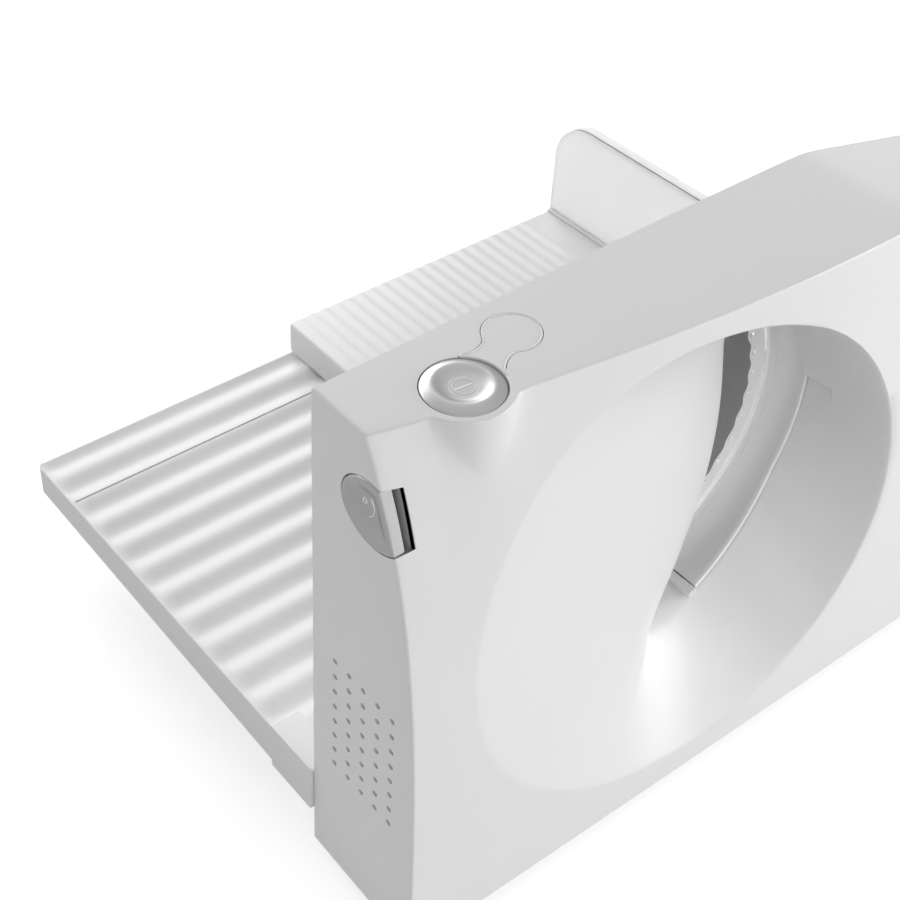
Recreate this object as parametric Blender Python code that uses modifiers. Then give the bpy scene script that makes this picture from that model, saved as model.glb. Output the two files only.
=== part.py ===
# Electric food slicer: an upright housing with a round slice chute, a toothed disc blade, a thickness
# fence set by a knob, and a feed carriage that slides on a corrugated tray. Metres, +Z up.
# Along is the distance from the housing's near end, depth is the distance from its back plane towards
# the discharge side, and height is above the counter. at() turns these three into the part's frame.

import math

import bmesh
import bpy
from mathutils import Matrix, Vector

# Housing
wall_length = 0.372
foot_height = 0.004
wall_height = 0.254
top_rise = 0.00425
top_peak_share = 0.6522
top_fall_angle = math.radians(13)
top_depth_near = 0.0291
top_depth_peak = 0.060
top_depth_far = 0.042
depth_peak_share = 0.6048
plan_power = 0.846
foot_depth = 0.067
flare_length = 0.065
shell = 0.003
edge_round = 0.0014
clearance = 0.0003
running_gap = 0.0003
overrun = 0.004

# Slice chute: the rim is four quarter ellipses on tilted axes
rim_offset = 0.016
rim_drop = 0.1173
rim_left = 0.1115
rim_right = 0.104
rim_up = 0.1164
rim_down = 0.128
rim_tilt = 0.70
rim_samples = 60
rim_corner_angles = [math.radians(a) for a in (58, -60.5, -110.6, -278)]
throat_search_start = math.radians(20)
throat_search_step = math.radians(0.5)
throat_radius_gap = 0.0004
throat_least_depth = 0.0213
crest_radius = 0.176
crest_reach = 0.034
crest_offset = 0.005
crest_depth = 0.024
crest_round = 0.006
throat_top_drop = 0.0282
throat_foot_angle = math.radians(-69)
throat_rim_gap = 0.0015

# Blade and its drive
blade_along_share = 0.42581
blade_drop = 0.1102
blade_radius = 0.085
blade_depth = 0.002
blade_thickness = 0.0012
blade_edge_thickness = 0.0003
bevel_width = 0.010
blade_clearance = 0.0023
hub_radius = 0.009
hub_bore = 0.006
hub_cap_radius = 0.012
hub_cap_height = 0.0021
hub_slot_width = 0.002
hub_slot_depth = 0.001
axle_radius = 0.004
wheel_teeth = 28
wheel_radius = 0.022
wheel_face = 0.007
wheel_depth = 0.0132
worm_radius = 0.005
tooth_addendum_share = 0.28
tooth_root_share = 0.40
tooth_width_share = 0.40
tooth_tip_share = 0.7
tooth_gap_share = 0.8
thread_foot_share = 0.62
thread_tip_share = 0.30
worm_length = 0.026
drive_plate_depth = 0.008
drive_plate_thickness = 0.002
drive_plate_start = math.radians(72)
drive_plate_sweep = math.radians(216)
drive_plate_steps = 28
crest_steps = 8
bridge_thickness = 0.0026
bridge_half_width = 0.009
bridge_reach = 0.032
bridge_leg = 0.005

# Motor
motor_near = 0.0115
motor_plate_gap = 0.0066
motor_radius = 0.019
motor_boss_radius = 0.008
shaft_radius = 0.002
shaft_near = 0.0055
fan_radius = 0.0125
fan_thickness = 0.004
fan_blades = 8
fan_hub_share = 0.4
fan_blade_share = 0.75
fan_blade_place_share = 0.6
fan_blade_width_share = 0.8
fan_lean = math.radians(28)
bracket_thickness = 0.003
bracket_height = 0.040
bearing_radius = 0.006
bearing_length = 0.005

# Thickness fence and knob
fence_thickness = 0.002
fence_depth = 0.0022
fence_inner_radius = 0.091
fence_top_angle = math.radians(60)
fence_foot_angle = math.radians(-67)
flange_mid_depth = 0.0172
flange_slope = 0.0084
fence_inset = 0.012
fence_top_gap = 0.016
fence_top_drop = 0.028
fence_foot_drop = 0.0853
fence_travel = 0.015
groove_margin = math.radians(1.2)
knob_inset = 0.054
knob_drop = 0.148
knob_radius = 0.022
knob_height = 0.017
knob_bar_width = 0.009
knob_bar_height = 0.007
knob_bar_share = 0.84
knob_side_share = 0.55
knob_shoulder_share = 0.94
knob_shoulder_height_share = 0.9
knob_top_share = 0.86
knob_dish_radius = 0.026
knob_dish_depth = 0.003
spindle_radius = 0.005
spindle_collar = 0.008
sleeve_wall = 0.0025
sleeve_length = 0.028
carrier_margin = 0.012
carrier_height = 0.030
carrier_thickness = 0.006
guide_radius = 0.003
guide_place_share = 0.549
guide_boss_wall = 0.003
guide_boss_length = 0.024

# Tray and base
tray_overhang = 0.004
tray_reach = 0.235
tray_top = 0.0515
tray_thickness = 0.005
tray_skirt_out = 0.016
tray_skirt_in = 0.0235
tray_wall = 0.0025
tray_inner_gap = 0.0006
rib_count = 11
rib_pitch = 0.01946
rib_first = 0.028
rib_depth = 0.0024
rib_border = 0.003
rib_half_share = 0.42
rib_end_share = 0.3
rib_end_depth_share = 0.7
rib_least_share = 0.08
rib_half_steps = 3
slot_inset = 0.0365
slot_width = 0.0056
slot_margin = 0.010
lug_length = 0.0149
lug_width = 0.029
lug_height = 0.0004
lug_drop = 0.0265
beam_width = 0.030
beam_wall = 0.003
arm_width = 0.024
arm_inset = 0.064
arm_foot_height = 0.012
arm_column = 0.014
arm_setback = 0.011
foot_radius = 0.011
foot_top_radius = 0.009
foot_inset = 0.030
foot_front_setback = 0.0176
rail_width = 0.018
rail_height = 0.012
rail_wall = 0.0015

# Carriage
deck_setback = 0.2198
deck_length = 0.1884
deck_top = 0.0712
deck_gap = 0.0006
deck_wall = 0.0025
deck_inner_gap = 0.0008
deck_rib_pitch = 0.008
deck_rib_width = 0.0035
deck_rib_height = 0.0010
deck_rib_slope_share = 0.2
deck_plain_strip = 0.014
plate_thickness = 0.009
plate_height = 0.062
plate_corner = 0.024
plate_edge_round = 0.0015
shoe_length = 0.080
shoe_web = 0.0044
shoe_foot_width = 0.012
shoe_foot_height = 0.004

# Buttons
power_along = 0.0409
power_depth = 0.0299
power_radius = 0.0151
power_height = 0.008
power_proud = 0.0014
power_dish = 0.0016
power_edge_share = 0.4
power_rim_share = 0.93
power_crown_share = 0.80
power_dish_share = 0.70
power_press = 0.003
power_bulge_radius = 0.018
bulge_blend = 0.0045
stem_radius = 0.003
stem_length = 0.009
lobe_along = 0.0726
lobe_depth = 0.0178
lobe_radius = 0.0108
lobe_neck = 0.0052
lobe_inset_share = 0.167
neck_place_share = 0.42
neck_flare_share = 0.55
neck_shoulder_share = 1.35
neck_steps = 5
lobe_steps = 8
inlay_thickness = 0.0016
lock_drop = 0.0320
lock_depth = 0.0345
lock_half_depth = 0.0173
lock_half_height = 0.0141
lock_length = 0.0051
lock_proud = 0.0006
lock_press = 0.003
lock_stem_length = 0.005

# Switches, terminals and cord inlet
shelf_drop = 0.041
shelf_thickness = 0.0025
shelf_near = 0.014
shelf_length = 0.044
shelf_depth = 0.037
switch_length = 0.016
switch_width = 0.010
terminal_length = 0.030
terminal_width = 0.014
terminal_height = 0.018
inlet_drop = 0.230
inlet_depth = 0.025
inlet_radius = 0.007
inlet_bore = 0.0033
inlet_flange = 0.003
inlet_lip_share = 0.9

# Air vents in the near end
vent_columns = 5
vent_rows = 8
vent_pitch = 0.0088
vent_radius = 0.00135
vent_top_drop = 0.1245
vent_first_depth = 0.0142

# Facets
chute_shares = (0.035, 0.10, 0.30, 0.55, 0.80)
crest_ease_share = 0.25
rim_steps_right = 16
rim_steps_foot = 8
rim_steps_left = 18
rim_steps_top = 4
wall_rows = 9
bulge_span = 0.046
near_steps = 2
bulge_steps = 12
middle_steps = 7
far_steps = 6
row_crowding = 0.6
fence_steps = 20
plate_corner_steps = 8
blade_sides = 72
knob_sides = 40
round_sides = 32
middle_sides = 24
bore_sides = 16
small_sides = 12
vent_sides = 6
merge_distance = 0.00001
sharp_angle = math.radians(35)
round_angle = math.radians(40)

# Places that follow from the sizes above
wall_top = foot_height + wall_height
top_peak = wall_length * top_peak_share
depth_peak_along = wall_length * depth_peak_share
blade_along = wall_length * blade_along_share
rim_along = blade_along - rim_offset
rim_level = wall_top - rim_drop
knob_along = wall_length - knob_inset
fence_far = wall_length - fence_inset


def top_level(along):
    """Height of the top over the counter: a slight rise, then a straight fall to the far end."""
    if along < top_peak:
        return wall_top + top_rise * math.sin(math.pi / 2 * max(along, 0) / top_peak)
    return wall_top + top_rise - (along - top_peak) * math.tan(top_fall_angle)


def top_depth(along):
    if along < depth_peak_along:
        swell = math.sin(math.pi / 2 * max(along, 0) / depth_peak_along) ** plan_power
        return top_depth_near + (top_depth_peak - top_depth_near) * swell
    swell = math.cos(math.pi / 2 * (along - depth_peak_along) / (wall_length - depth_peak_along))
    return top_depth_far + (top_depth_peak - top_depth_far) * max(swell, 0)


def face_depth(along, height):
    """Depth of the front face: the top's plan flares to the foot, with a round swelling at the button."""
    drop = max(top_level(along) - height, 0)
    plan = top_depth(along)
    face = plan + (foot_depth - plan) * (1 - math.exp(-drop / flare_length))
    reach = power_bulge_radius ** 2 - (along - power_along) ** 2
    swell = power_depth + math.sqrt(max(reach, 0))
    return (face + swell + math.sqrt((face - swell) ** 2 + bulge_blend ** 2)) / 2 - bulge_blend ** 2 / 4 / (
        abs(face - swell) + bulge_blend)


knob_level = wall_top - knob_drop
knob_face = face_depth(knob_along, knob_level)
knob_seat = knob_face - knob_dish_depth
knob_front = knob_seat + clearance + knob_height
centre_along = wall_length / 2
centre_out = (tray_reach - knob_front) / 2
blade_height = wall_top - blade_drop
fence_top_height = wall_top - fence_top_drop
fence_foot_height = blade_height - fence_foot_drop
throat_radius = fence_inner_radius + fence_thickness + throat_radius_gap
guide_room = min(knob_along - blade_along - throat_radius, wall_length - knob_along) - shell
guide_reach = guide_room * guide_place_share
carrier_half = guide_reach + carrier_margin
wheel_mid_depth = wheel_depth + wheel_face / 2
worm_height = blade_height - wheel_radius - worm_radius
tooth_pitch = 2 * math.pi * wheel_radius / wheel_teeth
tooth_addendum = tooth_pitch * tooth_addendum_share
tooth_root = tooth_pitch * tooth_root_share
tray_under = tray_top - tray_thickness
slot_out = tray_reach - slot_inset
arm_reach = tray_reach - arm_setback
bracket_near = blade_along - blade_radius - motor_plate_gap - bracket_thickness
motor_far = bracket_near - clearance
tray_near = -tray_overhang
tray_far = wall_length + tray_overhang
deck_near = wall_length - deck_setback


def at(along, depth, height):
    return Vector((along - centre_along, -depth - centre_out, height))


def polar(radius, angle):
    """(along, height) at a radius and an angle about the blade's axis."""
    return blade_along + radius * math.cos(angle), blade_height + radius * math.sin(angle)


def at_polar(radius, angle, depth):
    along, height = polar(radius, angle)
    return at(along, depth, height)


for leftover in list(bpy.data.objects):
    bpy.data.objects.remove(leftover, do_unlink=True)
parts = bpy.data.collections.new("food_slicer")
cutters = bpy.data.collections.new("cutters")
bpy.context.scene.collection.children.link(parts)
bpy.context.scene.collection.children.link(cutters)


def plain_material(name, colour, roughness, metallic=0.0):
    material = bpy.data.materials.new(name)
    material.use_nodes = True
    shader = material.node_tree.nodes["Principled BSDF"]
    shader.inputs["Base Color"].default_value = (*colour, 1)
    shader.inputs["Roughness"].default_value = roughness
    shader.inputs["Metallic"].default_value = metallic
    material.diffuse_color = (*colour, 1)
    return material


white_plastic = plain_material("white_plastic", (0.86, 0.86, 0.87), 0.35)
frosted_plastic = plain_material("frosted_plastic", (0.88, 0.88, 0.86), 0.5)
grey_plastic = plain_material("grey_plastic", (0.35, 0.35, 0.36), 0.5)
black_plastic = plain_material("black_plastic", (0.04, 0.04, 0.045), 0.45)
blade_steel = plain_material("blade_steel", (0.56, 0.57, 0.58), 0.22, 1.0)
plain_steel = plain_material("plain_steel", (0.50, 0.50, 0.52), 0.35, 1.0)
satin_metal = plain_material("satin_metal", (0.62, 0.62, 0.63), 0.32, 1.0)
aluminium = plain_material("aluminium", (0.66, 0.67, 0.68), 0.38, 1.0)
bronze = plain_material("bronze", (0.50, 0.36, 0.18), 0.4, 1.0)
rubber = plain_material("rubber", (0.12, 0.12, 0.125), 0.8)
gear_nylon = plain_material("gear_nylon", (0.80, 0.78, 0.70), 0.5)


def new_object(name, mesh, material=None):
    piece = bpy.data.objects.new(name, mesh)
    if material is None:
        cutters.objects.link(piece)
        piece.hide_render = True
        piece.display_type = "WIRE"
    else:
        parts.objects.link(piece)
        mesh.materials.append(material)
    return piece


def finish_mesh(name, shape, material):
    mesh = bpy.data.meshes.new(name)
    bmesh.ops.recalc_face_normals(shape, faces=shape.faces)
    shape.to_mesh(mesh)
    shape.free()
    mesh.shade_smooth()
    mesh.set_sharp_from_angle(angle=sharp_angle)
    return new_object(name, mesh, material)


def box(name, low, high, material=None, rounding=0.0):
    """A block between two corners, given as at() points in any order."""
    shape = bmesh.new()
    bmesh.ops.create_cube(shape, size=1)
    size = Vector([abs(b - a) for a, b in zip(low, high)])
    placed = Matrix.Translation((low + high) / 2) @ Matrix.Diagonal((*size, 1))
    bmesh.ops.transform(shape, matrix=placed, verts=shape.verts)
    piece = finish_mesh(name, shape, material)
    if rounding:
        round_edges(piece, rounding)
    return piece


def round_edges(piece, width, segments=2, angle=round_angle):
    bevel = piece.modifiers.new("round_edges", "BEVEL")
    bevel.width = width
    bevel.segments = segments
    bevel.limit_method = "ANGLE"
    bevel.angle_limit = angle


def rod(name, start, end, radius, material=None, sides=round_sides, end_radius=None):
    """A straight round bar or cone between two points."""
    shape = bmesh.new()
    length = (end - start).length
    bmesh.ops.create_cone(shape, cap_ends=True, segments=sides, radius1=radius,
                          radius2=radius if end_radius is None else end_radius, depth=length)
    turn = (end - start).to_track_quat("Z", "Y").to_matrix().to_4x4()
    bmesh.ops.transform(shape, matrix=Matrix.Translation((start + end) / 2) @ turn, verts=shape.verts)
    return finish_mesh(name, shape, material)


def loft(name, rings, material=None, ladder=False):
    """A skin over rings of equally many points, capped at both ends; a ladder cap has a rung each step."""
    shape = bmesh.new()
    rows = [[shape.verts.new(point) for point in ring] for ring in rings]
    count = len(rows[0])
    for lower, upper in zip(rows, rows[1:]):
        for i in range(count):
            j = (i + 1) % count
            shape.faces.new((lower[i], lower[j], upper[j], upper[i]))
    for row in (rows[0], rows[-1]):
        if ladder:
            for i in range(count // 2 - 1):
                shape.faces.new((row[i], row[i + 1], row[-2 - i], row[-1 - i]))
        else:
            shape.faces.new(row)
    return finish_mesh(name, shape, material)


def prism(name, outline, start, end, material=None):
    """A flat outline of (a, b), pulled from start(a, b) to end(a, b)."""
    rings = [[start(a, b) for a, b in outline], [end(a, b) for a, b in outline]]
    return loft(name, rings, material)


def turned(name, profile, centre, axis, material=None, sides=round_sides):
    """A turned piece: the profile is (radius, distance along the axis) from the axis round to the axis."""
    mesh = bpy.data.meshes.new(name)
    mesh.from_pydata([(r, 0, t) for r, t in profile], [(i, i + 1) for i in range(len(profile) - 1)], [])
    if profile[0][0] > 0:
        mesh.clear_geometry()
        last = len(profile)
        mesh.from_pydata([(r, 0, t) for r, t in profile], [(i, (i + 1) % last) for i in range(last)], [])
    piece = new_object(name, mesh, material)
    screw = piece.modifiers.new("turn", "SCREW")
    screw.steps = screw.render_steps = sides
    screw.use_merge_vertices = True
    screw.merge_threshold = merge_distance
    piece.rotation_mode = "QUATERNION"
    piece.rotation_quaternion = axis.to_track_quat("Z", "Y")
    piece.location = centre
    bake(piece)
    piece.data.shade_smooth()
    piece.data.set_sharp_from_angle(angle=sharp_angle)
    return piece


def bake(piece):
    """Applies the modifiers and the placing, and turns every face outwards."""
    bpy.context.view_layer.update()
    graph = bpy.context.evaluated_depsgraph_get()
    mesh = bpy.data.meshes.new_from_object(piece.evaluated_get(graph))
    mesh.transform(piece.matrix_world)
    piece.modifiers.clear()
    piece.data = mesh
    piece.matrix_world = Matrix.Identity(4)
    shape = bmesh.new()
    shape.from_mesh(mesh)
    bmesh.ops.recalc_face_normals(shape, faces=shape.faces)
    shape.to_mesh(mesh)
    shape.free()


def boolean(piece, other, operation):
    modifier = piece.modifiers.new(other.name, "BOOLEAN")
    modifier.operation = operation
    modifier.object = other
    modifier.solver = "EXACT"


def cut(piece, *others):
    for other in others:
        boolean(piece, other, "DIFFERENCE")


def join(piece, *others):
    for other in others:
        boolean(piece, other, "UNION")


def pivot(piece, point):
    """Moves the object's origin to a point on its joint's axis, leaving its shape where it is."""
    piece.data.transform(Matrix.Translation(piece.location - point))
    piece.location = point


# The housing's skin

def wall_stations():
    """Places along the wall: closer together over the button's swelling, and one at the top's peak."""
    near, far = power_along - bulge_span / 2, power_along + bulge_span / 2
    marks = ((0.0, near, near_steps), (near, far, bulge_steps), (far, top_peak, middle_steps),
             (top_peak, wall_length, far_steps))
    stations = [start + (end - start) * i / steps for start, end, steps in marks for i in range(steps)]
    return stations + [wall_length]


def wall_skin(name, inset, back_depth, floor, material=None):
    """The housing's outside, or its inside where inset is the wall."""
    stations = [min(max(s, inset), wall_length - inset) for s in wall_stations()]
    rings = []
    for row in range(wall_rows + 1):
        share = (row / wall_rows) ** row_crowding
        ring = []
        for along in stations:
            top = top_level(along) - inset
            height = floor + (top - floor) * share
            ring.append(at(along, face_depth(along, height + inset * share) - inset, height))
        for along in reversed(stations):
            top = top_level(along) - inset
            ring.append(at(along, back_depth, floor + (top - floor) * share))
        rings.append(ring)
    return loft(name, rings, material, ladder=True)


# The slice chute

def rim_point(angle):
    """(along, height) on the rim, by the angle about its centre."""
    turned_angle = angle - rim_tilt
    a, b = math.cos(turned_angle), math.sin(turned_angle)
    half_a = rim_right if a > 0 else rim_left
    half_b = rim_up if b > 0 else rim_down
    reach = 1 / math.hypot(a / half_a, b / half_b)
    return (rim_along + reach * math.cos(angle), rim_level + reach * math.sin(angle))


def rim_reach(angle):
    """Distance from the blade's axis to the rim in a direction."""
    low, high = 0.0, 2 * (rim_left + rim_right)
    for _ in range(rim_samples):
        middle = (low + high) / 2
        along = blade_along + middle * math.cos(angle) - rim_along
        up = blade_height + middle * math.sin(angle) - rim_level
        edge = rim_point(math.atan2(up, along))
        inside = math.hypot(along, up) < math.hypot(edge[0] - rim_along, edge[1] - rim_level)
        low, high = (middle, high) if inside else (low, middle)
    return low


def crest_along(height):
    """Along, where the deflector's crest stands at a height."""
    up = height - blade_height - crest_offset
    return blade_along + crest_reach - crest_radius + math.sqrt(crest_radius ** 2 - up ** 2)


def flange_depth(angle):
    """Depth of the fence flange's free edge, deeper towards its foot."""
    return max(flange_mid_depth - flange_slope * angle, throat_least_depth - clearance)


def throat_outline():
    """Rows of (along, height, depth, rim angle, on the crest), round the throat behind the chute."""
    top = wall_top - throat_top_drop
    foot = blade_height + throat_radius * math.sin(throat_foot_angle)
    top_angle = throat_search_start
    while blade_height + (rim_reach(top_angle) - throat_rim_gap) * math.sin(top_angle) < top:
        top_angle += throat_search_step
    rows = []
    right_rim, foot_rim, left_rim, top_rim = rim_corner_angles
    for i in range(rim_steps_right):
        angle = top_angle + (throat_foot_angle - top_angle) * i / rim_steps_right
        reach = min(throat_radius, rim_reach(angle) - throat_rim_gap)
        depth = max(flange_depth(angle), throat_least_depth)
        rim = right_rim + (foot_rim - right_rim) * i / rim_steps_right
        rows.append((*polar(reach, angle), depth, rim, 0))
    foot_right = blade_along + throat_radius * math.cos(throat_foot_angle)
    foot_left = crest_along(foot)
    foot_depth_right = flange_depth(throat_foot_angle)
    for i in range(rim_steps_foot):
        share = i / rim_steps_foot
        along = foot_right + (foot_left - foot_right) * share
        rim = foot_rim + (left_rim - foot_rim) * share
        rows.append((along, foot, foot_depth_right + (crest_depth - foot_depth_right) * share, rim, share))
    for i in range(rim_steps_left):
        share = i / rim_steps_left
        height = foot + (top - foot) * share
        rows.append((crest_along(height), height, crest_depth, left_rim + (top_rim - left_rim) * share, 1))
    top_left, top_right = crest_along(top), rows[0][0]
    for i in range(rim_steps_top):
        share = i / rim_steps_top
        rim = top_rim + (right_rim - math.tau - top_rim) * share
        depth = crest_depth + (throat_least_depth - crest_depth) * share
        rows.append((top_left + (top_right - top_left) * share, top, depth, rim, 1 - share))
    return rows


def spread(points, amount):
    """A closed outline of (along, height) moved outwards by an amount."""
    moved = []
    count = len(points)
    for i, (a, b) in enumerate(points):
        before, after = points[i - 1], points[(i + 1) % count]
        tangent = Vector((after[0] - before[0], after[1] - before[1])).normalized()
        moved.append((a - tangent.y * amount, b + tangent.x * amount))
    return moved


def chute(name, wall):
    """The space of the chute, or with a wall the space that the chute's wall takes up with it."""
    rows = throat_outline()
    throat = spread([row[:2] for row in rows], wall)
    rim = spread([rim_point(row[3]) for row in rows], wall)
    back = drive_plate_depth + drive_plate_thickness + clearance if wall else -overrun
    rings = [[at(a, back, b) for a, b in throat]]
    edge = [max(row[2] - crest_round * row[4], back + clearance) for row in rows]
    rings.append([at(a, max(d - wall, back + clearance), b) for (a, b), d in zip(throat, edge)])
    for share in chute_shares:
        ring = []
        for row, inner, outer in zip(rows, throat, rim):
            along = inner[0] + (outer[0] - inner[0]) * share
            height = inner[1] + (outer[1] - inner[1]) * share
            depth = row[2] + (face_depth(*outer) - row[2]) * share
            if share == chute_shares[0]:
                depth -= crest_round * row[4] * crest_ease_share
            ring.append(at(along, depth - wall, height))
        rings.append(ring)
    rings.append([at(a, face_depth(a, b) - wall, b) for a, b in rim])
    rings.append([at(a, foot_depth + knob_height, b) for a, b in rim])
    return loft(name, rings)


# Housing shell: outside less inside, keeping the chute's wall, then its openings

housing = wall_skin("housing_shell", 0.0, 0.0, foot_height, white_plastic)
round_edges(housing, edge_round, 2, math.radians(50))
hollow = wall_skin("housing_hollow", shell, -overrun, foot_height + shell)
chute_wall = chute("chute_wall_space", shell)
chute_space = chute("chute_space", 0.0)
cut(hollow, chute_wall)
cut(housing, hollow, chute_space)


def fence_outline(grow, arc_radius):
    """(along, height) round the fence plate, grown by a clearance on its straight sides."""
    points = []
    for i in range(fence_steps + 1):
        angle = fence_foot_angle + (fence_top_angle - fence_foot_angle) * i / fence_steps
        points.append(polar(arc_radius, angle))
    first, last = points[0], points[-1]
    top = fence_top_height + grow
    points.append((last[0], top))
    points.append((top_peak + fence_top_gap, top))
    far = fence_far + grow
    points.append((far, top_level(far) - fence_top_gap + grow))
    points.append((far, fence_foot_height - grow))
    points.append((first[0], fence_foot_height - grow))
    return points


def fence_space(name, near_depth, far_depth, grow, arc_radius):
    outline = fence_outline(grow, arc_radius)
    return prism(name, outline, lambda a, b: at(a, near_depth, b), lambda a, b: at(a, far_depth, b))


def ring_sector(name, inner, outer, first, last, back, front, material=None):
    """A curved band about the blade's axis; front gives its depth at an angle."""
    rings = []
    for i in range(fence_steps + 1):
        angle = first + (last - first) * i / fence_steps
        corners = ((inner, back), (outer, back), (outer, front(angle)), (inner, front(angle)))
        rings.append([at_polar(r, angle, d) for r, d in corners])
    return loft(name, rings, material)


pocket_depth = fence_depth + fence_thickness + fence_travel + 2 * clearance
fence_pocket = fence_space("fence_pocket", -overrun, pocket_depth, clearance, fence_inner_radius)
flange_groove = ring_sector("flange_groove", blade_radius, throat_radius, fence_foot_angle - groove_margin,
                            fence_top_angle + groove_margin, -overrun,
                            lambda angle: flange_depth(angle) + fence_travel + 2 * clearance)
cut(housing, fence_pocket, flange_groove)

pocket_floor = wall_top - power_height - power_press
power_pocket = rod("power_pocket", at(power_along, power_depth, pocket_floor - clearance),
                   at(power_along, power_depth, wall_top + overrun), power_radius + clearance)
stem_hole = rod("stem_hole", at(power_along, power_depth, pocket_floor - 3 * shell),
                at(power_along, power_depth, wall_top), stem_radius + clearance, sides=small_sides)
button_cup = rod("button_cup", at(power_along, power_depth, pocket_floor - shell),
                 at(power_along, power_depth, wall_top - shell / 2), power_radius + shell)
join(housing, button_cup)
cut(housing, power_pocket, stem_hole)


def lobe_outline(grow):
    """(along, depth) round the inlay: a round lobe with a waisted neck that meets the button's ring."""
    axis = Vector((lobe_along - power_along, lobe_depth - power_depth))
    reach = axis.length
    axis.normalize()
    side = Vector((-axis.y, axis.x))
    start = power_radius + lobe_radius * lobe_inset_share
    neck = start + (reach - start) * neck_place_share
    stations = []
    for i in range(neck_steps + 1):
        t = start + (neck - start) * i / neck_steps
        width = lobe_neck * (1 + neck_flare_share * (1 - i / neck_steps) ** 2)
        stations.append((t - (grow if i == 0 else 0), width + grow))
    turn = math.acos(min(lobe_neck * neck_shoulder_share / lobe_radius, 1))
    for i in range(lobe_steps + 1):
        angle = math.pi / 2 + turn - (math.pi / 2 + turn) * i / lobe_steps
        radius = lobe_radius + grow
        stations.append((reach + radius * math.cos(angle), radius * math.sin(angle)))
    tip = stations.pop()
    centre = Vector((power_along, power_depth))
    upper = [centre + axis * t + side * w for t, w in stations]
    lower = [centre + axis * t - side * w for t, w in reversed(stations)]
    point = centre + axis * tip[0]
    return [(p.x, p.y) for p in upper + [point] + lower]


inlay_pocket = prism("inlay_pocket", lobe_outline(clearance),
                     lambda a, d: at(a, d, top_level(a) - inlay_thickness - clearance),
                     lambda a, d: at(a, d, top_level(a) + overrun))
cut(housing, inlay_pocket)
inlay = prism("switch_inlay", lobe_outline(0.0), lambda a, d: at(a, d, top_level(a) - inlay_thickness),
              lambda a, d: at(a, d, top_level(a)), white_plastic)

lock_centre_height = wall_top - lock_drop


def lock_shape(name, near, far, grow, material=None):
    """An oval boss through the near end, kept behind the front face where it meets the corner."""
    ring = []
    for i in range(round_sides):
        angle = math.tau * i / round_sides
        height = lock_centre_height + (lock_half_height + grow) * math.sin(angle)
        depth = lock_depth + (lock_half_depth + grow) * math.cos(angle)
        ring.append((depth, height))
    return prism(name, ring, lambda d, h: at(near, d, h), lambda d, h: at(far, d, h), material)


lock_pocket = lock_shape("lock_pocket", -overrun, lock_length + lock_press, clearance)
lock_cup = lock_shape("lock_cup", shell / 2, lock_length + lock_press + shell / 2, shell)
lock_cup_limit = wall_skin("lock_cup_limit", edge_round / 2, -overrun, foot_height + shell)
boolean(lock_cup, lock_cup_limit, "INTERSECT")
lock_stem_depth = lock_depth - lock_half_depth / 2
lock_stem_hole = rod("lock_stem_hole", at(lock_length, lock_stem_depth, lock_centre_height),
                     at(lock_length + lock_press + 3 * shell, lock_stem_depth, lock_centre_height),
                     stem_radius + clearance, sides=small_sides)
join(housing, lock_cup)
cut(housing, lock_pocket, lock_stem_hole)

knob_dish = rod("knob_dish", at(knob_along, knob_seat, knob_level),
                at(knob_along, foot_depth + overrun, knob_level), knob_dish_radius)
knob_boss = rod("knob_boss", at(knob_along, knob_seat - shell, knob_level),
                at(knob_along, knob_face - shell / 2, knob_level), knob_dish_radius + shell)
spindle_hole = rod("spindle_hole", at(knob_along, knob_seat - 3 * shell, knob_level),
                   at(knob_along, knob_face + overrun, knob_level), spindle_radius + running_gap)
join(housing, knob_boss)
cut(housing, knob_dish, spindle_hole)

inlet_level = wall_top - inlet_drop
inlet_hole = rod("inlet_hole", at(wall_length - 3 * shell, inlet_depth, inlet_level),
                 at(wall_length + overrun, inlet_depth, inlet_level), inlet_radius - shell / 2 + clearance,
                 sides=round_sides // 2)
cut(housing, inlet_hole)


def vent_cutter():
    shape = bmesh.new()
    for column in range(vent_columns):
        for row in range(vent_rows):
            height = wall_top - vent_top_drop - row * vent_pitch
            depth = vent_first_depth + column * vent_pitch
            place = Matrix.Translation(at(shell / 2, depth, height)) @ Matrix.Rotation(math.pi / 2, 4, "Y")
            bmesh.ops.create_cone(shape, cap_ends=True, segments=vent_sides, radius1=vent_radius,
                                  radius2=vent_radius, depth=4 * shell, matrix=place)
    return finish_mesh("vent_holes", shape, None)


cut(housing, vent_cutter())

# Rear cover: a plate inside the shell's open back, round the blade and the fence

cover_gap = shell + clearance
cover_rows = [(along, top_level(along) - cover_gap) for along in
              (cover_gap, top_peak / 2, top_peak, wall_length - cover_gap)]
cover_foot = foot_height + cover_gap
cover_outline = [(cover_gap, cover_foot)] + cover_rows + [(wall_length - cover_gap, cover_foot)]
rear_cover = prism("rear_cover", cover_outline, lambda a, b: at(a, clearance, b),
                   lambda a, b: at(a, shell, b), white_plastic)
blade_window = rod("blade_window", at(blade_along, -overrun, blade_height),
                   at(blade_along, 2 * overrun, blade_height), blade_radius + blade_clearance,
                   sides=2 * round_sides)
fence_window = fence_space("fence_window", -overrun, 2 * overrun, 2 * clearance, blade_radius)
cut(rear_cover, blade_window, fence_window)

# Drive plate behind the blade: a disc that ends at the deflector's crest


def drive_plate_outline():
    """(along, height): the blade's circle, cut off along the crest."""
    points = []
    for i in range(drive_plate_steps + 1):
        angle = drive_plate_start + drive_plate_sweep * i / drive_plate_steps
        points.append(polar(blade_radius, angle))
    top, foot = points[0], points[-1]
    crest = []
    for i in range(1, crest_steps):
        height = foot[1] + (top[1] - foot[1]) * i / crest_steps
        crest.append((crest_along(height) - clearance, height))
    return points + crest


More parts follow.
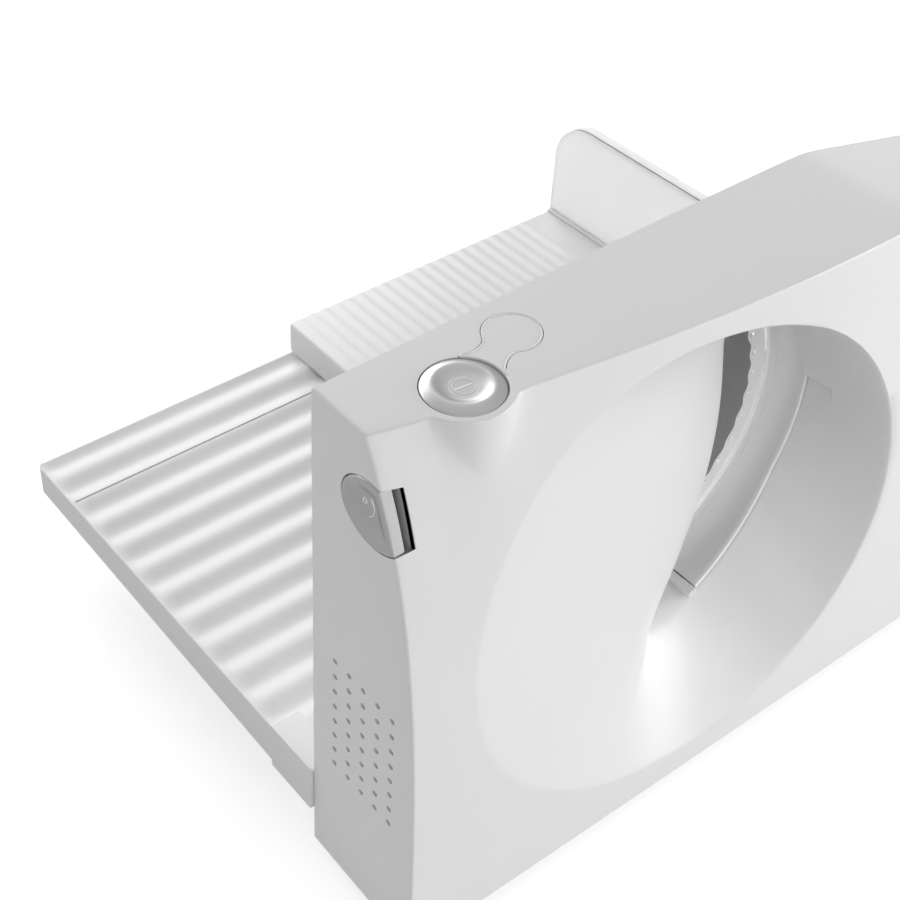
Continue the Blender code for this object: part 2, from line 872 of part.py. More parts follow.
drive_plate = prism("drive_plate", drive_plate_outline(), lambda a, b: at(a, drive_plate_depth, b),
                    lambda a, b: at(a, drive_plate_depth + drive_plate_thickness, b), aluminium)
hub_hole = rod("hub_hole", at(blade_along, 0.0, blade_height), at(blade_along, 2 * wheel_depth, blade_height),
               hub_radius + running_gap)
cut(drive_plate, hub_hole)

# Blade: a turned disc, ground on its discharge side, with scalloped teeth at its rim


def blade_profile():
    flat, edge = blade_thickness, blade_edge_thickness
    inner = hub_bore + clearance
    return [(inner, 0), (blade_radius, 0), (blade_radius, edge), (blade_radius - bevel_width, flat),
            (inner, flat)]


blade = turned("blade_disc", [(r, -t) for r, t in blade_profile()],
               at(blade_along, blade_depth, blade_height), Vector((0, 1, 0)), blade_steel, sides=blade_sides)

cap_face = blade_depth - clearance - hub_cap_height
slot_half = hub_slot_width / 2
hub_cap_slot = box("hub_cap_slot",
                   at(blade_along - hub_cap_radius, cap_face - overrun, blade_height - slot_half),
                   at(blade_along + hub_cap_radius, cap_face + hub_slot_depth, blade_height + slot_half))
hub_cap = rod("hub_cap", at(blade_along, blade_depth - clearance, blade_height),
              at(blade_along, cap_face, blade_height), hub_cap_radius, satin_metal,
              end_radius=hub_cap_radius - hub_slot_depth)
cut(hub_cap, hub_cap_slot)


def gear_wheel():
    """Helical wheel for the worm, with the hub that carries the blade."""
    twist = wheel_face * (tooth_pitch / (2 * math.pi * worm_radius)) / wheel_radius
    root_share = (1 - (1 - tooth_width_share) * tooth_gap_share) / 2
    tip_share = tooth_width_share * tooth_tip_share / 2
    corners = ((-1 / 2, -tooth_root), (-root_share, -tooth_root), (-tip_share, tooth_addendum),
               (tip_share, tooth_addendum), (root_share, -tooth_root))
    rings = []
    for side in (-1 / 2, 1 / 2):
        ring = []
        for tooth in range(wheel_teeth):
            for place, height in corners:
                angle = math.tau * (tooth + 1 / 2 + place) / wheel_teeth - twist * side - math.pi / 2
                ring.append(at_polar(wheel_radius + height, angle, wheel_mid_depth + wheel_face * side))
        rings.append(ring)
    return loft("gear_wheel", rings, gear_nylon)


wheel = gear_wheel()
hub_tube = rod("hub_tube", at(blade_along, blade_depth + blade_thickness + clearance, blade_height),
               at(blade_along, wheel_depth + wheel_face - clearance, blade_height), hub_radius)
join(wheel, hub_tube)
hub_bore_cut = rod("hub_bore_cut", at(blade_along, -overrun, blade_height),
                   at(blade_along, wheel_depth + wheel_face + overrun, blade_height), hub_bore)
cut(wheel, hub_bore_cut)

bush_near = blade_depth + blade_thickness + clearance
bush_far = wheel_depth + wheel_face
bush = turned("hub_bush", [(axle_radius + running_gap, -bush_far), (axle_radius + running_gap, -bush_near),
                           (hub_bore - clearance, -bush_near), (hub_bore - clearance, -bush_far)],
              at(blade_along, 0.0, blade_height), Vector((0, 1, 0)), bronze)

# Fixed axle and the bridge that holds it in front of the wheel

bridge_depth = wheel_depth + wheel_face + clearance
axle = rod("blade_axle", at(blade_along, bush_near, blade_height),
           at(blade_along, bridge_depth - clearance, blade_height), axle_radius, plain_steel,
           sides=middle_sides)
bridge_near, bridge_far = blade_along - bridge_half_width, blade_along + bridge_half_width
bridge_top = blade_height + bridge_reach
drive_plate_front = drive_plate_depth + drive_plate_thickness + clearance
bridge = box("axle_bridge", at(bridge_near, bridge_depth, blade_height - bridge_half_width),
             at(bridge_far, bridge_depth + bridge_thickness, bridge_top), plain_steel)
bridge_leg_box = box("bridge_leg_box", at(bridge_near, drive_plate_front, bridge_top - bridge_leg),
                     at(bridge_far, bridge_depth + bridge_thickness / 2, bridge_top))
join(bridge, bridge_leg_box)

# Motor, its bracket, and the rotor with fan and worm

motor_depth = wheel_mid_depth
motor_half_flat = motor_depth - shell - clearance
motor_can = rod("motor_can", at(motor_near, motor_depth, worm_height), at(motor_far, motor_depth, worm_height),
                motor_radius, plain_steel)
motor_flat = box("motor_flat",
                 at(motor_near - overrun, motor_depth - motor_half_flat, worm_height - 2 * motor_radius),
                 at(motor_far + overrun, motor_depth + motor_half_flat, worm_height + 2 * motor_radius))
boolean(motor_can, motor_flat, "INTERSECT")
motor_bore = rod("motor_bore", at(motor_near - overrun, motor_depth, worm_height),
                 at(motor_far + overrun, motor_depth, worm_height), shaft_radius + running_gap,
                 sides=bore_sides)
cut(motor_can, motor_bore)

bracket = box("motor_bracket", at(bracket_near, shell + clearance, worm_height - bracket_height / 2),
              at(bracket_near + bracket_thickness, 2 * motor_depth - shell, worm_height + bracket_height / 2),
              plain_steel)
bracket_bore = rod("bracket_bore", at(bracket_near - overrun, motor_depth, worm_height),
                   at(bracket_near + overrun, motor_depth, worm_height), motor_boss_radius)
cut(bracket, bracket_bore)
turned("motor_bearing", [(shaft_radius + running_gap, 0), (motor_boss_radius - clearance, 0),
                         (motor_boss_radius - clearance, bracket_thickness),
                         (shaft_radius + running_gap, bracket_thickness)],
       at(bracket_near, motor_depth, worm_height), Vector((1, 0, 0)), bronze, sides=middle_sides)

worm_near = blade_along - worm_length / 2
worm_far = blade_along + worm_length / 2
post_near = worm_far + clearance
shaft_far = post_near + bearing_length
shaft = rod("motor_shaft", at(shaft_near, motor_depth, worm_height), at(shaft_far, motor_depth, worm_height),
            shaft_radius, plain_steel, sides=bore_sides)
bearing_post = box("worm_bearing", at(post_near, drive_plate_front, worm_height - bearing_radius),
                   at(shaft_far, motor_depth + bearing_radius / 2, worm_height + bearing_radius), bronze)
post_bore = rod("post_bore", at(post_near - overrun, motor_depth, worm_height),
                at(shaft_far + overrun, motor_depth, worm_height), shaft_radius + running_gap,
                sides=bore_sides)
cut(bearing_post, post_bore)


def worm_solid():
    """A core rod joined to one helical thread."""
    root = worm_radius - tooth_addendum - clearance
    tip = worm_radius + tooth_root - 2 * clearance
    half = tooth_pitch * (1 - tooth_width_share) / 2
    foot_half, tip_half = half * thread_foot_share, half * thread_tip_share
    turns = int(worm_length / tooth_pitch) - 1
    rows = []
    for step in range(turns * bore_sides + 1):
        angle = math.tau * step / bore_sides
        middle = blade_along + (step / bore_sides - turns / 2) * tooth_pitch
        corners = ((-foot_half, root - clearance), (-tip_half, tip), (tip_half, tip),
                   (foot_half, root - clearance))
        swing = angle + turns * math.pi + math.pi / 2
        across, up = math.cos(swing), math.sin(swing)
        rows.append([at(middle + shift, motor_depth + reach * across, worm_height + reach * up)
                     for shift, reach in corners])
    return loft("worm", rows, plain_steel)


worm_thread = worm_solid()
worm_core = rod("worm_core", at(worm_near, motor_depth, worm_height), at(worm_far, motor_depth, worm_height),
                worm_radius - tooth_addendum - clearance, sides=bore_sides)
worm_bore = rod("worm_bore", at(worm_near - overrun, motor_depth, worm_height),
                at(worm_far + overrun, motor_depth, worm_height), shaft_radius + clearance, sides=bore_sides)
join(worm_thread, worm_core)
cut(worm_thread, worm_bore)


def cooling_fan():
    """A hub with leaning blades, on the shaft's near end."""
    fan_far = shaft_near + fan_thickness
    hub = rod("cooling_fan", at(shaft_near, motor_depth, worm_height), at(fan_far, motor_depth, worm_height),
              fan_radius * fan_hub_share, grey_plastic, sides=bore_sides)
    for index in range(fan_blades):
        angle = math.tau * index / fan_blades
        shape = bmesh.new()
        bmesh.ops.create_cube(shape, size=1)
        size = Matrix.Diagonal((fan_thickness * fan_blade_width_share, fan_thickness / 4,
                                fan_radius * fan_blade_share, 1))
        turn = Matrix.Rotation(angle, 4, "X") @ Matrix.Translation((0, 0, fan_radius * fan_blade_place_share))
        lean = Matrix.Rotation(fan_lean, 4, "Z")
        place = Matrix.Translation(at(shaft_near + fan_thickness / 2, motor_depth, worm_height))
        bmesh.ops.transform(shape, matrix=place @ turn @ lean @ size, verts=shape.verts)
        join(hub, finish_mesh("fan_blade_cutter", shape, None))
    bore = rod("fan_bore", at(shaft_near - overrun, motor_depth, worm_height),
               at(fan_far + overrun, motor_depth, worm_height), shaft_radius + clearance, sides=bore_sides)
    cut(hub, bore)
    return hub


fan = cooling_fan()

# Thickness fence: plate with its curved flange, and the carrier behind it

fence_plate = prism("fence_plate", fence_outline(0.0, fence_inner_radius), lambda a, b: at(a, fence_depth, b),
                    lambda a, b: at(a, fence_depth + fence_thickness, b), aluminium)
fence_flange = ring_sector("fence_flange", fence_inner_radius, fence_inner_radius + fence_thickness,
                           fence_foot_angle, fence_top_angle, fence_depth, flange_depth)
join(fence_plate, fence_flange)

carrier_depth = fence_depth + fence_thickness + clearance
carrier_front = carrier_depth + carrier_thickness
carrier = box("fence_carrier", at(knob_along - carrier_half, carrier_depth, knob_level - carrier_height / 2),
              at(knob_along + carrier_half, carrier_front, knob_level + carrier_height / 2), grey_plastic,
              edge_round)
sleeve_radius = spindle_radius + running_gap + sleeve_wall
carrier_middle = carrier_depth + carrier_thickness / 2
sleeve_body = rod("sleeve_body", at(knob_along, carrier_middle, knob_level),
                  at(knob_along, carrier_depth + sleeve_length, knob_level), sleeve_radius)
sleeve_bore = rod("sleeve_bore", at(knob_along, carrier_middle, knob_level),
                  at(knob_along, carrier_depth + sleeve_length + overrun, knob_level),
                  spindle_radius + running_gap)
join(carrier, sleeve_body)
guides = []
for number, along in (("near", knob_along - guide_reach), ("far", knob_along + guide_reach)):
    boss = rod("guide_boss_" + number, at(along, carrier_middle, knob_level),
               at(along, carrier_depth + guide_boss_length, knob_level),
               guide_radius + running_gap + guide_boss_wall, sides=middle_sides)
    bore = rod("guide_bore_" + number, at(along, -overrun, knob_level),
               at(along, carrier_depth + guide_boss_length + overrun, knob_level), guide_radius + running_gap,
               sides=middle_sides)
    join(carrier, boss)
    guides.append(rod("fence_guide_" + number,
                      at(along, carrier_depth + fence_travel + clearance, knob_level),
                      at(along, knob_seat - shell - clearance, knob_level), guide_radius, plain_steel,
                      sides=middle_sides))
    cut(carrier, bore)
cut(carrier, sleeve_bore)

# Knob and spindle

knob_base = knob_seat + clearance
knob_skirt = knob_height - knob_bar_height
knob_profile = [(0, 0), (knob_radius, 0), (knob_radius, knob_skirt * knob_side_share),
                (knob_radius * knob_shoulder_share, knob_skirt * knob_shoulder_height_share),
                (knob_radius * knob_top_share, knob_skirt), (0, knob_skirt)]
knob = turned("thickness_knob", knob_profile, at(knob_along, knob_base, knob_level), Vector((0, -1, 0)),
              white_plastic, sides=knob_sides)
grip_half = knob_radius * knob_bar_share
grip = box("knob_grip",
           at(knob_along - knob_bar_width / 2, knob_base + knob_skirt / 2, knob_level - grip_half),
           at(knob_along + knob_bar_width / 2, knob_base + knob_height, knob_level + grip_half), None,
           edge_round)
join(knob, grip)
spindle_socket = rod("spindle_socket", at(knob_along, knob_base - overrun, knob_level),
                     at(knob_along, knob_base + knob_skirt / 2, knob_level), spindle_radius + clearance)
cut(knob, spindle_socket)
spindle_back = carrier_middle + fence_travel + clearance
spindle = rod("knob_spindle", at(knob_along, spindle_back, knob_level),
              at(knob_along, knob_base + knob_skirt / 2 - clearance, knob_level), spindle_radius, plain_steel,
              sides=middle_sides)
collar = rod("spindle_collar_space", at(knob_along, knob_seat - 2 * shell, knob_level),
             at(knob_along, knob_seat - shell - clearance, knob_level), spindle_collar, sides=middle_sides)
join(spindle, collar)

# Power button, its stem, and the two switches on their shelf

power_face = top_level(power_along) + power_proud
power_profile = [(0, -power_height), (power_radius, -power_height),
                 (power_radius, -power_dish * power_edge_share), (power_radius * power_rim_share, 0),
                 (power_radius * power_crown_share, 0),
                 (power_radius * power_dish_share, -power_dish), (0, -power_dish)]
power_cap = turned("power_button", power_profile, at(power_along, power_depth, power_face), Vector((0, 0, 1)),
                   satin_metal)
stem_foot = power_face - power_height - clearance - stem_length
power_stem = rod("power_stem", at(power_along, power_depth, stem_foot),
                 at(power_along, power_depth, power_face - power_height - clearance), stem_radius,
                 grey_plastic, sides=small_sides)

shelf_level = wall_top - shelf_drop
shelf = box("switch_shelf", at(shelf_near, shell + clearance, shelf_level - shelf_thickness),
            at(shelf_near + shelf_length, shelf_depth, shelf_level), grey_plastic)
switch_top = stem_foot - power_press - clearance
switch_near, switch_back = power_along - switch_length / 2, power_depth - switch_width / 2
power_switch = box("power_switch", at(switch_near, switch_back, shelf_level + clearance),
                   at(switch_near + switch_length, switch_back + switch_width, switch_top),
                   black_plastic, edge_round / 2)

lock_near = -lock_proud
lock_far = lock_near + lock_length
lock_button = lock_shape("lock_button", lock_near, lock_far, 0.0, satin_metal)
lock_limit = wall_skin("lock_limit", 0.0, -overrun, foot_height)
lock_limit.data.transform(Matrix.Translation(Vector((-lock_proud - edge_round, 0, 0))))
boolean(lock_button, lock_limit, "INTERSECT")
lock_stem = rod("lock_stem", at(lock_far + clearance, lock_stem_depth, lock_centre_height),
                at(lock_far + clearance + lock_stem_length, lock_stem_depth, lock_centre_height), stem_radius,
                grey_plastic, sides=small_sides)

# Terminal block on the floor and the cord inlet in the far end

terminal_floor = foot_height + shell
box("terminal_block", at(blade_along, shell + clearance, terminal_floor + clearance),
    at(blade_along + terminal_length, shell + clearance + terminal_width, terminal_floor + terminal_height),
    grey_plastic, edge_round / 2)
inlet_tube = inlet_radius - shell / 2
inlet = turned("cord_inlet", [(inlet_bore, -2 * shell), (inlet_tube, -2 * shell), (inlet_tube, clearance),
                              (inlet_radius, clearance), (inlet_radius * inlet_lip_share, inlet_flange),
                              (inlet_bore, inlet_flange)],
               at(wall_length, inlet_depth, inlet_level), Vector((1, 0, 0)), black_plastic,
               sides=middle_sides)

# Tray: a corrugated plate with skirts, a slot for the carriage and a pad at the near corner


def out(along, distance, height):
    """A point on the feed side, by its distance out from the housing's back plane."""
    return at(along, -distance, height)


skirt_in, skirt_out = tray_top - tray_skirt_in, tray_top - tray_skirt_out
tray = box("tray", out(tray_near, tray_inner_gap, skirt_in), out(tray_far, tray_reach, tray_top),
           white_plastic)
round_edges(tray, edge_round, 2)
skirt_slope = [(tray_inner_gap - overrun, skirt_in), (tray_inner_gap, skirt_in), (tray_reach, skirt_out),
               (tray_reach + overrun, skirt_out), (tray_reach + overrun, foot_height),
               (tray_inner_gap - overrun, foot_height)]
tray_foot = prism("tray_foot", skirt_slope, lambda a, b: out(tray_near - overrun, a, b),
                  lambda a, b: out(tray_far + overrun, a, b))
tray_hollow = box("tray_hollow", out(tray_near + tray_wall, tray_inner_gap - overrun, foot_height),
                  out(tray_far - tray_wall, tray_reach - tray_wall, tray_under))
tray_slot = box("tray_slot", out(tray_near + slot_margin, slot_out - slot_width / 2, tray_under - overrun),
                out(tray_far - slot_margin, slot_out + slot_width / 2, tray_top + overrun))


def trough(index):
    """One valley between two ridges, with round ends."""
    middle = rib_first + (index + 1 / 2) * rib_pitch
    start, end = tray_near + rib_border, tray_far - rib_border
    half = rib_pitch * rib_half_share
    ease = half * rib_end_share
    radius = (half ** 2 + rib_depth ** 2) / (2 * rib_depth)
    rings = []
    for along, share in ((start, rib_least_share), (start + ease, rib_end_depth_share), (start + half, 1),
                         (end - half, 1), (end - ease, rib_end_depth_share), (end, rib_least_share)):
        ring = []
        for i in range(2 * rib_half_steps + 1):
            across = half * (i / rib_half_steps - 1)
            fall = math.sqrt(radius ** 2 - across ** 2) - (radius - rib_depth)
            ring.append(out(along, middle + across, tray_top - fall * share - clearance / 10))
        ring += [out(along, middle + half, tray_top + overrun), out(along, middle - half, tray_top + overrun)]
        rings.append(ring)
    return loft("trough_%d" % index, rings)


cut(tray, tray_foot, tray_hollow)
for index in range(-1, rib_count - 1):
    cut(tray, trough(index))
cut(tray, tray_slot)
lug = box("tray_lug", out(tray_near, tray_inner_gap, tray_top - lug_drop),
          out(tray_near + lug_length, tray_inner_gap + lug_width, tray_top + lug_height))
join(tray, lug)

# Base: a beam along the wall's foot, two arms out to the tray's edge, and four feet

beam_top = tray_under - clearance
beam_near = tray_near + lug_length + clearance
beam = box("base_beam", out(beam_near, tray_inner_gap, foot_height),
           out(wall_length, beam_width, beam_top), white_plastic, edge_round)
beam_hollow = box("beam_hollow",
                  out(beam_near + beam_wall, tray_inner_gap + beam_wall, foot_height - overrun),
                  out(wall_length - beam_wall, beam_width - beam_wall, beam_top - beam_wall))
cut(beam, beam_hollow)


def base_arm(name, along):
    start = beam_width + clearance
    outline = [(start, foot_height), (arm_reach, foot_height), (arm_reach, beam_top),
               (arm_reach - arm_column, beam_top), (arm_reach - arm_column, foot_height + 2 * arm_foot_height),
               (arm_reach - 2 * arm_column, foot_height + arm_foot_height),
               (start + 2 * arm_column, foot_height + arm_foot_height),
               (start, foot_height + 2 * arm_foot_height)]
    arm = prism(name, outline, lambda a, b: out(along, a, b), lambda a, b: out(along + arm_width, a, b),
                white_plastic)
    round_edges(arm, edge_round / 2, 1)
    return arm


arms = [base_arm("base_arm_near", arm_inset), base_arm("base_arm_far", wall_length - arm_inset - arm_width)]


def foot(name, along, distance):
    seat = foot_height - clearance
    profile = [(0, 0), (foot_radius, 0), (foot_radius, foot_height / 3), (foot_top_radius, seat), (0, seat)]
    return turned(name, profile, out(along, distance, 0.0), Vector((0, 0, 1)), rubber, sides=middle_sides)


arm_middle = arm_inset + arm_width / 2
foot_out = arm_reach - arm_column
foot_front_out = foot_front_setback - foot_depth
feet = [foot("foot_front_near", foot_inset, foot_front_out),
        foot("foot_front_far", wall_length - foot_inset, foot_front_out),
        foot("foot_rear_near", arm_middle, foot_out),
        foot("foot_rear_far", wall_length - arm_middle, foot_out)]

rail_top = tray_under - clearance
rail = box("slide_rail", out(tray_near + slot_margin, slot_out - rail_width / 2, rail_top - rail_height),
           out(tray_far - slot_margin, slot_out + rail_width / 2, rail_top), aluminium)
rail_half = rail_width / 2 - rail_wall
rail_floor = rail_top - rail_height + rail_wall
rail_hollow = box("rail_hollow", out(tray_near + slot_margin - overrun, slot_out - rail_half, rail_floor),
                  out(tray_far - slot_margin + overrun, slot_out + rail_half, rail_top + overrun))
cut(rail, rail_hollow)

# Carriage: ribbed deck with skirts, push plate at its far end, and the shoe in the tray's slot

deck_far = deck_near + deck_length
deck_foot = tray_top + deck_gap


def deck_profile():
    """(along, height) over the deck's ribs and back along its underside."""
    points = [(deck_near, deck_foot), (deck_near, deck_top - deck_rib_height)]
    count = int((deck_length - deck_plain_strip) / deck_rib_pitch)
    for index in range(count):
        start = deck_near + (index + 1 / 2) * deck_rib_pitch
        end = start + deck_rib_width
        slope = deck_rib_width * deck_rib_slope_share
        points += [(start, deck_top - deck_rib_height), (start + slope, deck_top), (end - slope, deck_top),
                   (end, deck_top - deck_rib_height)]
    points += [(deck_far, deck_top - deck_rib_height), (deck_far, deck_foot)]
    return points


deck = prism("carriage_deck", deck_profile(), lambda a, b: out(a, deck_inner_gap, b),
             lambda a, b: out(a, tray_reach, b), frosted_plastic)
deck_hollow = box("deck_hollow", out(deck_near + deck_wall, deck_inner_gap + deck_wall, deck_foot - overrun),
                  out(deck_far - deck_wall, tray_reach - deck_wall, deck_top - deck_rib_height - deck_wall))
cut(deck, deck_hollow)


def plate_outline():
    """(out, height) round the push plate, with one large round corner."""
    top = deck_top + plate_height
    points = [(deck_inner_gap, deck_foot), (deck_inner_gap, top)]
    for i in range(plate_corner_steps + 1):
        angle = math.pi / 2 * (1 - i / plate_corner_steps)
        points.append((tray_reach - plate_corner + plate_corner * math.cos(angle),
                       top - plate_corner + plate_corner * math.sin(angle)))
    points.append((tray_reach, deck_foot))
    return points


plate_near = deck_far + clearance
push_plate = prism("push_plate", plate_outline(), lambda a, b: out(plate_near, a, b),
                   lambda a, b: out(plate_near + plate_thickness, a, b), frosted_plastic)
round_edges(push_plate, plate_edge_round, 2)

shoe_near = deck_near + deck_length / 2 - shoe_length / 2
shoe_top = deck_top - deck_rib_height - deck_wall - clearance
shoe = box("guide_shoe", out(shoe_near, slot_out - shoe_web / 2, rail_top - rail_height / 2),
           out(shoe_near + shoe_length, slot_out + shoe_web / 2, shoe_top), grey_plastic)
shoe_foot_top = tray_under - 2 * clearance
shoe_foot = box("shoe_foot", out(shoe_near, slot_out - shoe_foot_width / 2, shoe_foot_top - shoe_foot_height),
                out(shoe_near + shoe_length, slot_out + shoe_foot_width / 2, shoe_foot_top))
shoe_head = box("shoe_head", out(shoe_near, slot_out - shoe_foot_width / 2, shoe_top - shoe_foot_height),
                out(shoe_near + shoe_length, slot_out + shoe_foot_width / 2, shoe_top))
join(shoe, shoe_foot, shoe_head)

# Joint axes: each moving piece turns or slides about its own origin

blade_axis = at(blade_along, 0.0, blade_height)
for piece in (blade, hub_cap, wheel, bush):
    pivot(piece, blade_axis)
for piece in (shaft, worm_thread, fan):
    pivot(piece, at(motor_near, motor_depth, worm_height))
for piece in (knob, spindle):
    pivot(piece, at(knob_along, knob_seat, knob_level))
for piece in (fence_plate, carrier):
    pivot(piece, at(knob_along, fence_depth, knob_level))
for piece in (deck, push_plate, shoe):
    pivot(piece, out(deck_near, slot_out, tray_top))
for piece in (power_cap, power_stem):
    pivot(piece, at(power_along, power_depth, power_face))
for piece in (lock_button, lock_stem):
    pivot(piece, at(0.0, lock_depth, lock_centre_height))
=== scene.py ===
from math import atan2, cos, degrees, exp, hypot, pi, radians, sin, sqrt, tan, tau
import bmesh
import bpy
from mathutils import Matrix, Vector


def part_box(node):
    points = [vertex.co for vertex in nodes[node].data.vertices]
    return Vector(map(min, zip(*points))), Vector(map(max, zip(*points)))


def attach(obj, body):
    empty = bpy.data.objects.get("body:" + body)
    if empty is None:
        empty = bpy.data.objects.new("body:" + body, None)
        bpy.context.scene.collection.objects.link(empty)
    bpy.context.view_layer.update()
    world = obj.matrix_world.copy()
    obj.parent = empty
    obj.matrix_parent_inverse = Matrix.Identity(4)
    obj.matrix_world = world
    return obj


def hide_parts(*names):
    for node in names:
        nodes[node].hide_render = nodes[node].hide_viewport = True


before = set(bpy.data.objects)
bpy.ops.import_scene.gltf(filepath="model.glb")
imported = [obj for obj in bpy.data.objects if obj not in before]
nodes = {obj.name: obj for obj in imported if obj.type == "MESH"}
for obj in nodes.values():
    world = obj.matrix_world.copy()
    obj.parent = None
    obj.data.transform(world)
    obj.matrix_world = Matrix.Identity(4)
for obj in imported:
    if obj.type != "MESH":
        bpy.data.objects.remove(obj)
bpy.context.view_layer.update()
scene = bpy.context.scene
for leftover in ("Cube", "Light", "Camera"):
    if leftover in bpy.data.objects:
        bpy.data.objects.remove(bpy.data.objects[leftover], do_unlink=True)
print("frame loaded:", len(nodes), "nodes")

# Places are given as (along, depth, height) in millimetres: along from the button end, depth from the back
# plane towards the chute side, height from the counter.
mm = 0.001
shellLow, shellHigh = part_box("housing_shell")


def at(along, depth, height):
    return Vector((shellLow[0] + along * mm, shellHigh[1] - depth * mm, height * mm))


def out(along, distance, height):  # the same on the feed side
    return at(along, -distance, height)


# Colours and nodes

def linearColour(hexText):
    channels = [int(hexText[i:i + 2], 16) / 255 for i in (1, 3, 5)]
    return [c / 12.92 if c <= 0.04045 else ((c + 0.055) / 1.055) ** 2.4 for c in channels] + [1.0]


def addNode(tree, kind, inputs=None, **settings):
    node = tree.nodes.new(kind)
    for name, value in settings.items():
        setattr(node, name, value)
    for socket, value in (inputs or {}).items():
        if isinstance(value, bpy.types.NodeSocket):
            tree.links.new(value, node.inputs[socket])
        else:
            node.inputs[socket].default_value = value
    return node


def compute(tree, operation, *values):
    return addNode(tree, "ShaderNodeMath", dict(enumerate(values)), operation=operation).outputs[0]


def remap(tree, value, low, high, fromLow=0.0, fromHigh=1.0, **settings):
    return addNode(tree, "ShaderNodeMapRange", {"Value": value, "From Min": fromLow, "From Max": fromHigh,
                                                "To Min": low, "To Max": high}, **settings).outputs["Result"]


def startMaterial(name, hexColour, roughness, metallic=0.0):
    material = bpy.data.materials.new(name)
    material.use_nodes = True
    tree = material.node_tree
    shader = tree.nodes["Principled BSDF"]
    shader.inputs["Base Color"].default_value = linearColour(hexColour)
    shader.inputs["Roughness"].default_value = roughness
    shader.inputs["Metallic"].default_value = metallic
    material.diffuse_color = linearColour(hexColour)
    return material, tree, shader, addNode(tree, "ShaderNodeTexCoord").outputs["Object"]


def finishSurface(tree, shader, roughness, height, relief, distance):
    tree.links.new(roughness, shader.inputs["Roughness"])
    bump = addNode(tree, "ShaderNodeBump", {"Height": height, "Strength": relief, "Distance": distance * mm})
    tree.links.new(bump.outputs["Normal"], shader.inputs["Normal"])


def mouldedPlastic(name, hexColour, hexDeep, roughness, grain, relief):
    # injection-moulded skin: a faint orange peel, slow tone drift, and roughness that wanders a little
    material, tree, shader, place = startMaterial(name, hexColour, roughness)
    drift = addNode(tree, "ShaderNodeTexNoise", {"Vector": place, "Scale": 1 / (60 * mm), "Detail": 2.0})
    tone = addNode(tree, "ShaderNodeMix", {"Factor": drift.outputs["Fac"], "A": linearColour(hexColour),
                                           "B": linearColour(hexDeep)}, data_type="RGBA")
    tree.links.new(tone.outputs["Result"], shader.inputs["Base Color"])
    peel = addNode(tree, "ShaderNodeTexNoise", {"Vector": place, "Scale": 1 / (grain * mm), "Detail": 3.0})
    sheen = remap(tree, peel.outputs["Fac"], roughness * 0.92, roughness * 1.1)
    finishSurface(tree, shader, sheen, peel.outputs["Fac"], relief, 0.1)
    return material


def brushedMetal(name, hexColour, roughness, grainMm, relief, metallic=1.0, centre=None):
    # fine scratches: noise squeezed to grainMm along each axis, or wound round a centre when one is given
    material, tree, shader, place = startMaterial(name, hexColour, roughness, metallic)
    if centre is None:
        scale = [1 / (g * mm) for g in grainMm]
        stretch = addNode(tree, "ShaderNodeMapping", {"Vector": place, "Scale": scale})
        source, detail = stretch.outputs["Vector"], 3.0
    else:
        point, axis = centre
        keep = [0.0 if abs(a) > 0.5 else 1.0 for a in axis]
        moved = addNode(tree, "ShaderNodeVectorMath", {0: place, 1: point}, operation="SUBTRACT")
        flat = addNode(tree, "ShaderNodeVectorMath", {0: moved.outputs[0], 1: keep}, operation="MULTIPLY")
        reach = addNode(tree, "ShaderNodeVectorMath", {0: flat.outputs[0]}, operation="LENGTH")
        wound = addNode(tree, "ShaderNodeCombineXYZ", {"X": reach.outputs["Value"]})
        sized = addNode(tree, "ShaderNodeVectorMath", {0: wound.outputs[0], "Scale": 1 / (grainMm[0] * mm)},
                        operation="SCALE")
        source, detail = sized.outputs[0], 4.0
    noise = addNode(tree, "ShaderNodeTexNoise", {"Vector": source, "Scale": 1.0, "Detail": detail})
    lines = noise.outputs["Fac"]
    spread = 0.05  # how far the scratches move the roughness
    gloss = remap(tree, lines, roughness - spread, roughness + spread, 0.3, 0.7)
    finishSurface(tree, shader, gloss, lines, relief, 0.05)
    return material


bladeAxis = (list(at(158.4, 2, 147.8)), (0, 1, 0))
powerAxis = (list(at(40.9, 29.9, 260)), (0, 0, 1))
acrylonitrile = mouldedPlastic("glossWhiteAbs", "#eaeaea", "#e6e6e7", 0.30, 0.7, 0.03)  # glossy housing
trayPlastic = mouldedPlastic("whiteTrayAbs", "#f2f2f2", "#efefef", 0.62, 0.8, 0.03)  # a touch lighter
deckPlastic = mouldedPlastic("milkySan", "#e0e0e1", "#ddddde", 0.40, 0.5, 0.03)  # light sinks in
platePlastic = mouldedPlastic("frostedSan", "#fafafa", "#f7f7f6", 0.55, 0.35, 0.10)  # frosted face
for soft, weight, reach in ((deckPlastic, 0.3, 4.0), (platePlastic, 1.0, 18.0)):
    shader = soft.node_tree.nodes["Principled BSDF"]
    shader.inputs["Subsurface Weight"].default_value = weight
    shader.inputs["Subsurface Radius"].default_value = (1.0, 1.0, 0.97)
    shader.inputs["Subsurface Scale"].default_value = reach * mm
frost = platePlastic.node_tree
glimmer = addNode(frost, "ShaderNodeBsdfTranslucent", {"Color": linearColour("#f9f9f9")})
clearShare = 0.38  # how much of the light goes straight through the plate
blend = addNode(frost, "ShaderNodeMixShader", {0: clearShare, 1: frost.nodes["Principled BSDF"].outputs[0],
                                               2: glimmer.outputs[0]})
frost.links.new(blend.outputs[0], frost.nodes["Material Output"].inputs["Surface"])
grooveShadePlastic = mouldedPlastic("seamSan", "#bdbcb9", "#c3c2bf", 0.6, 0.35, 0.05)  # painted shade: darker grey on the groove faces behind the front leaf, standing in for the groove's shadow
buttonSide = mouldedPlastic("lightGreyAbs", "#d0d0d0", "#cccccc", 0.35, 0.4, 0.03)  # flank of the lock button
